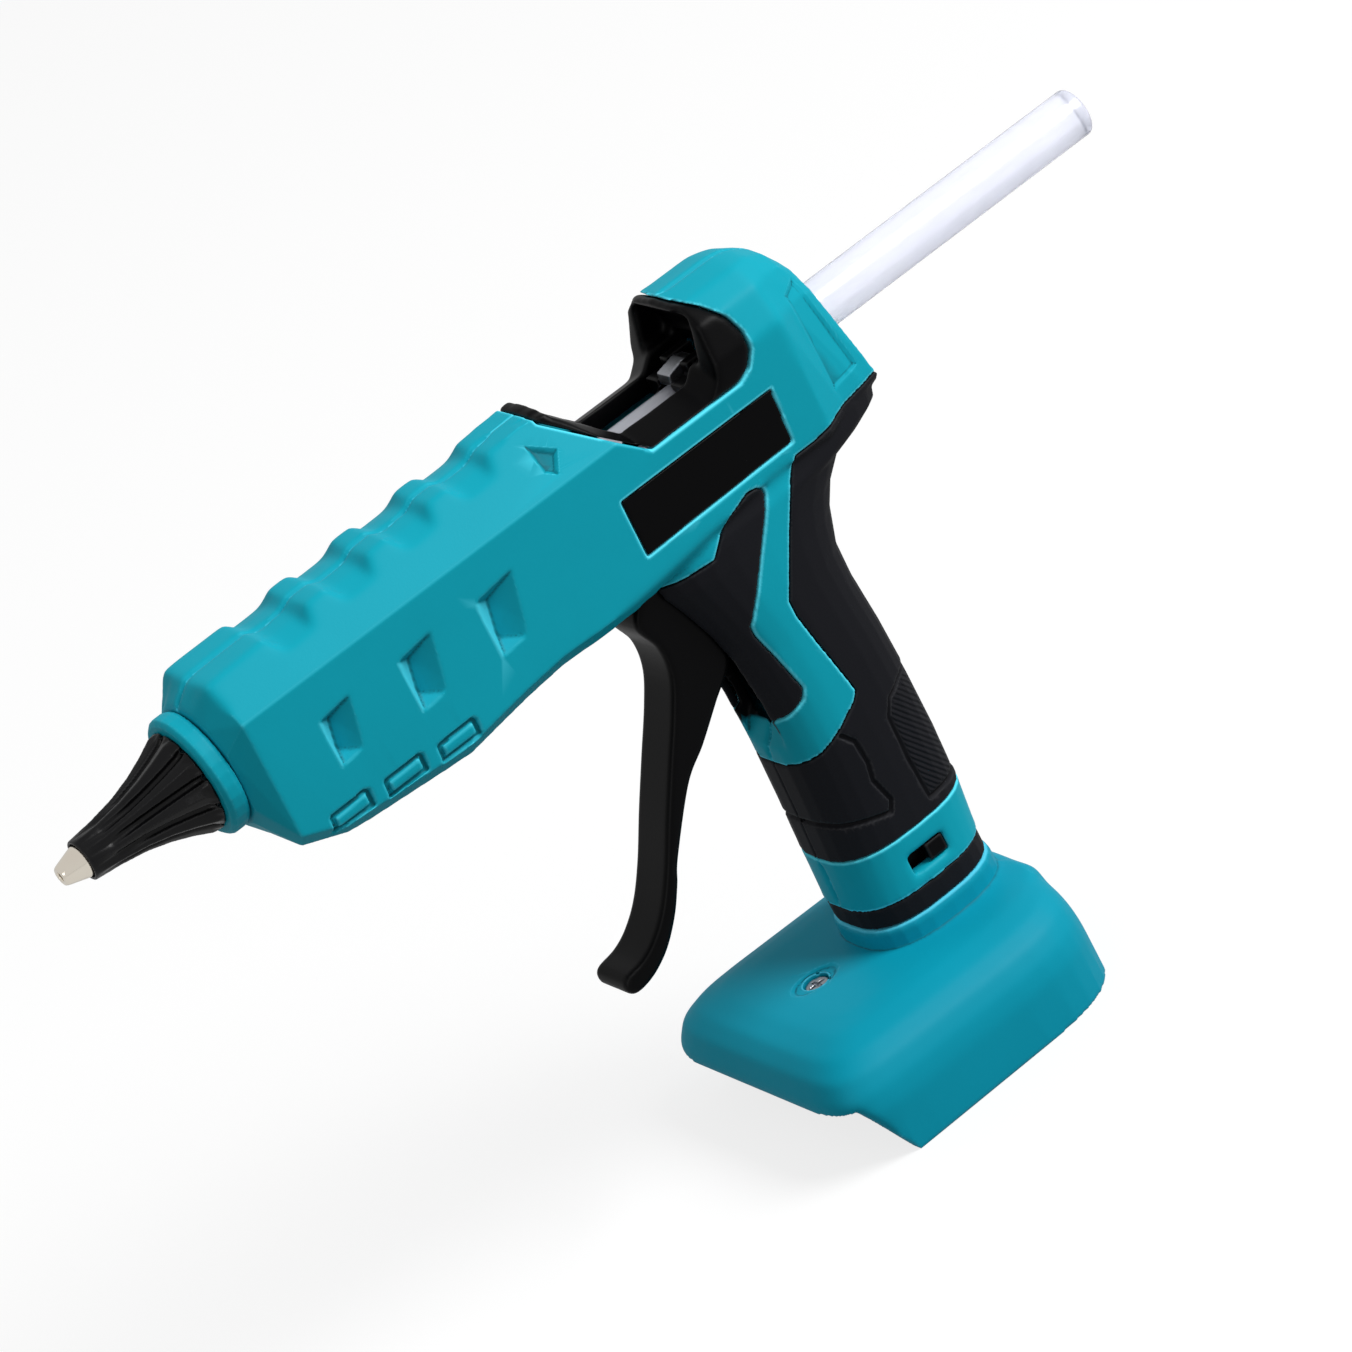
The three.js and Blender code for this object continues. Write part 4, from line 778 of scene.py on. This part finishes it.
def wedge_share(place):
    """A painted highlight on the front wedge of each pocket, which is turned to the light."""
    x, y, z = place
    front, rear, bottom, top = POCKET_BOX
    if not (front < x < rear and bottom < z < top):
        return 0
    for index in range(POCKETS):
        growth = 1 + index * POCKET_GROWTH
        start = POCKET_START + index * POCKET_PITCH
        wedge = [(start + along * growth, up * growth) for along, up in POCKET_WEDGE]
        if within(x, z, wedge):
            return WEDGE_PALE * ramp(off_line(x, z, wedge + wedge[:1]), 0, WEDGE_FADE)
    return 0


def grip_detail(place, normal):
    """The grooves round the pad and the palm panel, and the pad sunk into the back of the handle."""
    x, y, z = place
    if z > GRIP_TOP or normal.x * x + normal.y * y < 0:
        return 0
    depth = max(groove(x, z, PAD_OUTLINE), groove(x, z, PALM_GROOVE))
    if within(x, z, PAD_OUTLINE):
        depth = max(depth, PAD_SINK)
    return depth


def pad_share(place, normal):
    """1 on the ribbed pad, inside its groove."""
    x, y, z = place
    if z > GRIP_TOP or not within(x, z, PAD_OUTLINE):
        return 0
    return ramp(off_line(x, z, PAD_OUTLINE), GROOVE_HALF, GROOVE_HALF + PAD_FADE)


# Pieces


class GLUEGUN_OT_shells(bpy.types.Operator):
    """Housing halves and nose ring, moulded in teal"""

    bl_idname = "gluegun.shells"
    bl_label = "Housing shells"

    def shell(self, side, voxel):
        way = SIDES[side]
        let_in = [side + name for name in ("_grip_insert", "_rear_grip", "_badge")]
        gap = gap_to(let_in + ["window_bezel", "neck_band"], LET_IN_REACH)

        def soft_share(place, normal):
            x, y, z = place
            if z < -CORE_TOP:
                outward = normal.x * x + normal.y * y
                share = ramp(-z, *CORE_DROP) * ramp(x, *CORE_FRONT)
            else:
                outward = normal.y * y + normal.z * z + normal.x * max(0, x - TAIL_FLARE)
                roof = ramp(-x, *ROOF_AHEAD) * ramp(z, *ROOF_LEVEL)
                tail = ramp(x, *TAIL_BEHIND) * ramp(z, *TAIL_LEVEL) * ramp(TAIL_END - x, 0, TAIL_FADE)
                share = max(roof, tail)
            if outward < 0 or not share:
                return 0
            return share * ramp(gap(place), *LET_IN_GAP)

        def rework(piece):
            softened(piece, SHELL_PASSES, soft_share)
            reshaped(piece, lambda place, normal: (
                Vector((0, way * SEAM_HALF - place.y, 0)) if abs(place.y) < SEAM_REACH else None
            ))

        def liner_and_shade_share(place, normal):
            """Black in the lever's slot and on the walls behind it, which face the middle: overmould, and
            painted shade in the slot.
            """
            x, y, z = place
            facing = ramp(-normal.y * math.copysign(1, y), *LINER_FACING)
            inner = facing * ramp(LINER_REACH - abs(y), 0, LINER_FADE)
            slot = ramp(LINER_HALF - abs(y), 0, LINER_FADE)
            return max(slot, inner) * ramp(-z, *LINER_TOP) * ramp(z, *LINER_END)

        def marks(piece):
            # Painted highlight beside the parts let in and on the pockets' wedges
            painted(piece, LIP_HIGHLIGHT, lambda place, normal: max(
                ramp(LIP_REACH - gap(place), 0, LIP_REACH - LIP_FULL), wedge_share(place),
            ))
            # Black overmould, and painted shade in the lever's slot
            painted(piece, LINER_AND_SHADE, liner_and_shade_share)
            # Painted shade in the notches in front of the window
            painted(piece, HOLLOW, lambda place, normal: (
                NOTCH_SHADE / NOTCH_DEPTH * dished(place.x, place.z, WINDOW_NOTCH, NOTCH_DEPTH)
            ))

        # Thinned to about a third of its triangles. Thinned until each half stays under
        # 200,000 triangles
        moulded(
            side + "_housing", voxel, passes=2, keep=0.34, rework=rework, detail=shell_detail, marks=marks,
        )

    def execute(self, context):
        looks = context.scene.glue_gun
        for side in SIDES:
            self.shell(side, looks.shell_voxel)
        moulded("nose_ring", looks.fine_voxel, passes=3)
        return {"FINISHED"}


class GLUEGUN_OT_base(bpy.types.Operator):
    """Battery shoe with its soft fillets, the rails under it, the neck band and the terminal block"""

    bl_idname = "gluegun.base"
    bl_label = "Battery base"

    def shoe(self, voxel):
        band_lo, band_hi = (gun_mm(Vector(corner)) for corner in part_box("neck_band"))
        lo, hi = (gun_mm(Vector(corner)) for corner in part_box("battery_shoe"))
        screw_lo, screw_hi = (gun_mm(Vector(corner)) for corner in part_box("shoe_screw"))
        middle = Vector(((lo.x + hi.x) / 2, 0, lo.z))
        screw = (screw_lo + screw_hi) / 2
        gap = gap_to(["neck_band"], BAND_REACH)
        band = welded("neck_band")
        tree = BVHTree.FromBMesh(band)
        band.free()
        band_level = (band_lo.z + band_hi.z) / 2

        def soft_share(place, normal):
            rise = ramp(place.z - lo.z, *SHOE_RISE)
            if normal.dot(place - middle) < 0 or not rise:
                return 0
            off_screw = math.hypot(place.x - screw.x, place.y - screw.y)
            below_ring = band_lo.z - place.z - RING_HEIGHT
            off_ring = max(SHOE_SHARE, ramp(gap(place), *OFF_RING), ramp(below_ring, *BELOW_RING))
            return rise * off_ring * ramp(off_screw, *OFF_SCREW)

        def rear_share(place, normal):
            """The rear edge behind the ring, where the neck's flare runs out in a corner on each side."""
            if normal.dot(place - middle) < 0:
                return 0
            return ramp(place.x - band_hi.x, *REAR_RUN) * ramp(place.z - lo.z, *REAR_RISE)

        def ringed(place, normal):
            """Draws the neck's foot in to an upright ring under the band."""
            fall = band_lo.z - place.z
            if not -RING_OVER < fall < RING_HEIGHT:
                return None
            level = Vector((place.x, place.y, band_level))
            near = tree.find_nearest(at(*level))
            out = level - gun_mm(near[0])
            if out.length > RING_FLARE or out.dot(near[1]) < 0:
                return None
            pull = ramp(RING_FLARE - out.length, 0, RING_FADE) * ramp(RING_HEIGHT - fall, 0, RING_FOOT)
            out.z = 0
            return -out * pull * max(0, 1 - RING_STAND / max(out.length, RING_STAND))

        def rework(piece):
            reshaped(piece, ringed)
            softened(piece, SHOE_PASSES, soft_share)
            softened(piece, REAR_PASSES, rear_share)

        def oval(place, normal):
            """A shallow oval dish round the screw."""
            if normal.z < DISH_FACING:
                return 0
            off = math.hypot((place.x - screw.x) / DISH_LONG, (place.y - screw.y) / DISH_WIDE)
            return DISH_DEPTH * ramp(DISH_RIM - off, 0, DISH_RUN)

        def marks(piece):
            # Painted highlight beside the neck band
            painted(piece, LIP_HIGHLIGHT, lambda place, normal: (
                ramp(LIP_REACH - gap(place), 0, LIP_REACH - LIP_FULL)
            ))

        moulded("battery_shoe", voxel, passes=2, keep=0.4, rework=rework, detail=oval, marks=marks)

    def execute(self, context):
        looks = context.scene.glue_gun
        self.shoe(looks.shell_voxel)
        moulded("neck_band", looks.fine_voxel, passes=2)
        moulded("rail_frame", looks.fine_voxel, passes=2, keep=0.5)
        moulded("terminal_block", looks.fine_voxel, passes=1, keep=0.5)
        for side in SIDES:
            moulded(side + "_terminal_blade", looks.metal_voxel, passes=1, keep=0.4)
        moulded("shoe_screw", looks.metal_voxel, passes=1)
        return {"FINISHED"}


class GLUEGUN_OT_grips(bpy.types.Operator):
    """Overmoulded grips with their grooves and ribbed pads, and the bare label plates"""

    bl_idname = "gluegun.grips"
    bl_label = "Grips and labels"

    def execute(self, context):
        looks = context.scene.glue_gun
        for side in SIDES:
            moulded(side + "_grip_insert", looks.fine_voxel, passes=6, keep=0.6)
            moulded(
                side + "_rear_grip", looks.grip_voxel, passes=4, keep=0.5, detail=grip_detail,
                marks=lambda piece: painted(piece, PAD, pad_share),
            )
            moulded(side + "_badge", looks.fine_voxel, passes=1)
        return {"FINISHED"}


class GLUEGUN_OT_trim(bpy.types.Operator):
    """Trigger, window frame, rear bushing and power switch"""

    bl_idname = "gluegun.trim"
    bl_label = "Black trim"

    def execute(self, context):
        looks = context.scene.glue_gun
        moulded("trigger", looks.fine_voxel, passes=6, keep=0.7, rework=lambda piece: (
            reshaped(piece, bowed(TRIGGER_OUTLINE, TRIGGER_REACH))
        ))
        moulded("window_bezel", looks.fine_voxel, passes=2, keep=0.7, rework=lambda piece: softened(
            piece, HOOD_PASSES,
            lambda place, normal: FRAME_SHARE + (1 - FRAME_SHARE) * ramp(place.x, *HOOD_START),
        ))
        for node in ("rear_bushing", "switch_body", "power_slider"):
            moulded(node, looks.fine_voxel, passes=1, keep=0.6)
        return {"FINISHED"}


class GLUEGUN_OT_nozzle(bpy.types.Operator):
    """Fluted silicone boot over a turned and polished tip"""

    bl_idname = "gluegun.nozzle"
    bl_label = "Nozzle"

    def execute(self, context):
        looks = context.scene.glue_gun
        lo = gun_mm(Vector(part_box("nozzle_boot")[0]))

        def fluted(place, normal):
            """Long round-ended valleys between the boot's flutes."""
            x, y, z = place
            radius = math.hypot(y, z)
            if normal.y * y + normal.z * z < 0 or radius < BOOT_BORE:
                return 0
            turn = math.atan2(z, y) * FLUTES / math.tau
            off = abs(turn - math.floor(turn) - 0.5) * math.tau * radius / FLUTES
            share = ramp(x - lo.x, *FLUTE_START) * ramp(FLUTE_END - x, 0, FLUTE_FADE)
            return FLUTE_DEPTH * share * max(0, 1 - (off / FLUTE_HALF) ** 2)

        moulded("nozzle_boot", looks.metal_voxel, passes=3, keep=0.6, detail=fluted)
        moulded("nozzle_tip", looks.metal_voxel, passes=2)
        return {"FINISHED"}


class GLUEGUN_OT_feed(bpy.types.Operator):
    """Glue stick, feed carriage, gripper and the wound return spring"""

    bl_idname = "gluegun.feed"
    bl_label = "Stick feed"

    def stick(self):
        lo, hi = (gun_mm(Vector(corner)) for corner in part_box("glue_stick"))
        radius = (hi.z - lo.z) / 2
        half = [(0, 0), (0, radius - STICK_ROUND)]
        for i in range(1, STICK_STEPS + 1):
            turn = math.pi / 2 * i / STICK_STEPS
            half.append((STICK_ROUND * (1 - math.cos(turn)), radius - STICK_ROUND * (1 - math.sin(turn))))
        front = [(lo.x + run, out) for run, out in half]
        rear = [(hi.x - run, out) for run, out in reversed(half)]
        turned("glue_stick_cast", "glue_stick", front + rear)

    def spring(self):
        lo, hi = (gun_mm(Vector(corner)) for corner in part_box("return_spring"))
        radius = (hi.z - lo.z) / 2 - SPRING_WIRE / 2
        length = hi.x - lo.x - SPRING_WIRE
        axis_z = (hi.z + lo.z) / 2
        steps = SPRING_TURNS * COIL_STEPS
        form = bmesh.new()
        wire = []
        for i in range(WIRE_STEPS):
            turn = math.tau * i / WIRE_STEPS
            wire.append(form.verts.new(at(
                lo.x + SPRING_WIRE / 2 * (1 + math.sin(turn)), 0,
                axis_z + radius + SPRING_WIRE / 2 * math.cos(turn),
            )))
        edges = [form.edges.new((a, b)) for a, b in zip(wire, wire[1:] + wire[:1])]
        bmesh.ops.spin(
            form, geom=wire + edges, cent=at(0, 0, axis_z), axis=(1, 0, 0),
            dvec=Vector((length / steps, 0, 0)) * MM, angle=math.tau * SPRING_TURNS, steps=steps,
            use_merge=False,
        )
        bmesh.ops.holes_fill(form, edges=form.edges, sides=WIRE_STEPS)
        bmesh.ops.recalc_face_normals(form, faces=form.faces)
        piece = placed(form, "return_spring_wound", "steel")
        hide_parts("return_spring")
        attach(piece, "housing")
        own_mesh(piece)

    def execute(self, context):
        looks = context.scene.glue_gun
        self.stick()
        self.spring()
        moulded("feed_carriage", looks.fine_voxel, passes=2, keep=0.6)
        for node in ("gripper_pawl", "gripper_pin"):
            moulded(node, looks.metal_voxel, passes=1, keep=0.6)
        return {"FINISHED"}


class GLUEGUN_OT_inside(bpy.types.Operator):
    """Melt chamber, heater, wiring, board and the screws"""

    bl_idname = "gluegun.inside"
    bl_label = "Inner parts"

    def execute(self, context):
        looks = context.scene.glue_gun
        for node in ("melt_chamber", "heater_block", "heater_clip", "inlet_sleeve", "control_board"):
            moulded(node, looks.fine_voxel, passes=1, keep=0.5)
        for side in SIDES:
            moulded(side + "_heater_lead", looks.metal_voxel, passes=4, keep=0.6)
        moulded("trigger_pin", looks.metal_voxel, passes=1)
        for place in ("nose", "barrel", "tail", "grip", "collar"):
            moulded(place + "_screw", looks.metal_voxel, passes=1, keep=0.6)
        return {"FINISHED"}


# Camera, lights and floor

# The photograph's camera: its turn, rise and roll, its place from the gun, and its focal length
VIEW_TURN = math.radians(-22)
VIEW_RISE = math.radians(25)
VIEW_ROLL = math.radians(28)
VIEW_DISTANCE = 1.4
VIEW_ACROSS = 1.579 * MM
VIEW_UP = -53.055 * MM
FOCAL_PIXELS = 6800
FRAME_PIXELS = 1352
SENSOR = 36
CLIP_END = 20

# Where the lamps point, and the backdrop's light in shares of full white
LAMP_AIM = Vector((0, 0, 0.1))
WORLD_LIGHT = 0.3
MIRRORED_LIGHT = 0.6
FLOOR_SIZE = 4
FLOOR_SHADE = 0.25
FLOOR_GLOW = 0.78
FLOOR_MIRRORED = 0.4


def backdrop_rays(tree):
    """Sockets that are 1 on rays that see the backdrop itself and on rays that mirror it."""
    rays = add(tree, "ShaderNodeLightPath")
    seen = add(tree, "ShaderNodeMath", {
        0: rays.outputs["Is Camera Ray"], 1: rays.outputs["Is Transmission Ray"],
    }, operation="MAXIMUM")
    return seen.outputs[0], rays.outputs["Is Glossy Ray"]


class GLUEGUN_OT_stage(bpy.types.Operator):
    """Camera at the photograph's angle, soft studio light and a plain pale floor"""

    bl_idname = "gluegun.stage"
    bl_label = "Stage"

    def camera(self, scene):
        back = Vector((
            math.sin(VIEW_TURN) * math.cos(VIEW_RISE), -math.cos(VIEW_TURN) * math.cos(VIEW_RISE),
            math.sin(VIEW_RISE),
        ))
        level = Vector((math.cos(VIEW_TURN), math.sin(VIEW_TURN), 0))
        upright = back.cross(level)
        right = math.cos(VIEW_ROLL) * level - math.sin(VIEW_ROLL) * upright
        up = math.sin(VIEW_ROLL) * level + math.cos(VIEW_ROLL) * upright
        place = GUN + back * VIEW_DISTANCE + right * VIEW_ACROSS + up * VIEW_UP
        data = bpy.data.cameras.new("camera")
        data.sensor_width = SENSOR
        data.lens = FOCAL_PIXELS / FRAME_PIXELS * SENSOR
        data.clip_end = CLIP_END
        camera = bpy.data.objects.new("camera", data)
        camera.matrix_world = Matrix((
            (right.x, up.x, back.x, place.x), (right.y, up.y, back.y, place.y),
            (right.z, up.z, back.z, place.z), (0, 0, 0, 1),
        ))
        scene.collection.objects.link(camera)
        scene.camera = camera

    def lamp(self, scene, name, place, size, power, mirrored=True):
        data = bpy.data.lights.new(name, "AREA")
        data.shape = "DISK"
        data.size = size
        data.energy = power
        lamp = bpy.data.objects.new(name, data)
        lamp.location = place
        lamp.rotation_euler = (LAMP_AIM - Vector(place)).to_track_quat("-Z", "Y").to_euler()
        lamp.visible_glossy = mirrored
        scene.collection.objects.link(lamp)

    def world(self, scene):
        world = bpy.data.worlds.new("studio")
        world.use_nodes = True
        tree = world.node_tree
        dim = tree.nodes["Background"]
        seen, mirrored = backdrop_rays(tree)
        light = add(tree, "ShaderNodeMapRange", {
            "Value": mirrored, "To Min": WORLD_LIGHT, "To Max": MIRRORED_LIGHT,
        })
        tree.links.new(light.outputs["Result"], dim.inputs["Strength"])
        dim.inputs["Color"].default_value = (1, 1, 1, 1)
        white = add(tree, "ShaderNodeBackground", {"Color": (1, 1, 1, 1), "Strength": 1.0})
        both = add(tree, "ShaderNodeMixShader", {0: seen, 1: dim.outputs[0], 2: white.outputs[0]})
        tree.links.new(both.outputs[0], tree.nodes["World Output"].inputs["Surface"])
        scene.world = world

    def floor(self, scene):
        form = bmesh.new()
        bmesh.ops.create_grid(form, x_segments=1, y_segments=1, size=FLOOR_SIZE)
        mesh = bpy.data.meshes.new("floor")
        form.to_mesh(mesh)
        form.free()
        material = bpy.data.materials.new("matt white paper")
        material.use_nodes = True
        tree = material.node_tree
        shader = tree.nodes["Principled BSDF"]
        shader.inputs["Base Color"].default_value = (FLOOR_SHADE, FLOOR_SHADE, FLOOR_SHADE, 1)
        shader.inputs["Roughness"].default_value = 1.0
        shader.inputs["Specular IOR Level"].default_value = 0.0
        seen, mirrored = backdrop_rays(tree)
        gloss = add(tree, "ShaderNodeMath", {0: mirrored, 1: FLOOR_MIRRORED}, operation="MULTIPLY")
        glow = add(tree, "ShaderNodeMath", {
            0: seen, 1: FLOOR_GLOW, 2: gloss.outputs[0],
        }, operation="MULTIPLY_ADD")
        shader.inputs["Emission Color"].default_value = (1, 1, 1, 1)
        tree.links.new(glow.outputs[0], shader.inputs["Emission Strength"])
        mesh.materials.append(material)
        floor = bpy.data.objects.new("floor", mesh)
        scene.collection.objects.link(floor)

    def execute(self, context):
        scene = context.scene
        scene.view_settings.view_transform = "Standard"
        self.camera(scene)
        self.lamp(scene, "key", (0.95, -0.85, 1.3), size=1.0, power=29.5)
        self.lamp(scene, "fill", (-1.3, -1.1, 0.8), size=0.5, power=2)
        # Mirrored, the rim lamp would leave grey smears on the front slopes of the roof waves
        self.lamp(scene, "rim", (-0.6, 1.0, 1.0), size=0.8, power=2, mirrored=False)
        self.world(scene)
        self.floor(scene)
        return {"FINISHED"}


class GLUEGUN_PT_panel(bpy.types.Panel):
    """Sizes, colours and steps of the glue gun"""

    bl_idname = "GLUEGUN_PT_panel"
    bl_label = "Glue gun"
    bl_space_type = "VIEW_3D"
    bl_region_type = "UI"
    bl_category = "Glue gun"

    def draw(self, context):
        looks = context.scene.glue_gun
        for name in GlueGunLooks.__annotations__:
            self.layout.prop(looks, name)
        for step in STEPS:
            self.layout.operator(step.bl_idname)


STEPS = (
    GLUEGUN_OT_stage, GLUEGUN_OT_shells, GLUEGUN_OT_base, GLUEGUN_OT_grips, GLUEGUN_OT_trim,
    GLUEGUN_OT_nozzle, GLUEGUN_OT_feed, GLUEGUN_OT_inside,
)
CLASSES = (GlueGunLooks, *STEPS, GLUEGUN_PT_panel)


def register():
    """Registers the classes and puts the looks on the scene."""
    for item in CLASSES:
        bpy.utils.register_class(item)
    bpy.types.Scene.glue_gun = bpy.props.PointerProperty(type=GlueGunLooks)


def unregister():
    """Takes the looks and the classes away again."""
    del bpy.types.Scene.glue_gun
    for item in reversed(CLASSES):
        bpy.utils.unregister_class(item)


def main():
    """Dresses the frame."""
    register()
    make_materials(bpy.context.scene.glue_gun)
    for step in STEPS:
        group, name = step.bl_idname.split(".")
        getattr(getattr(bpy.ops, group), name)()


if __name__ == "__main__":
    main()
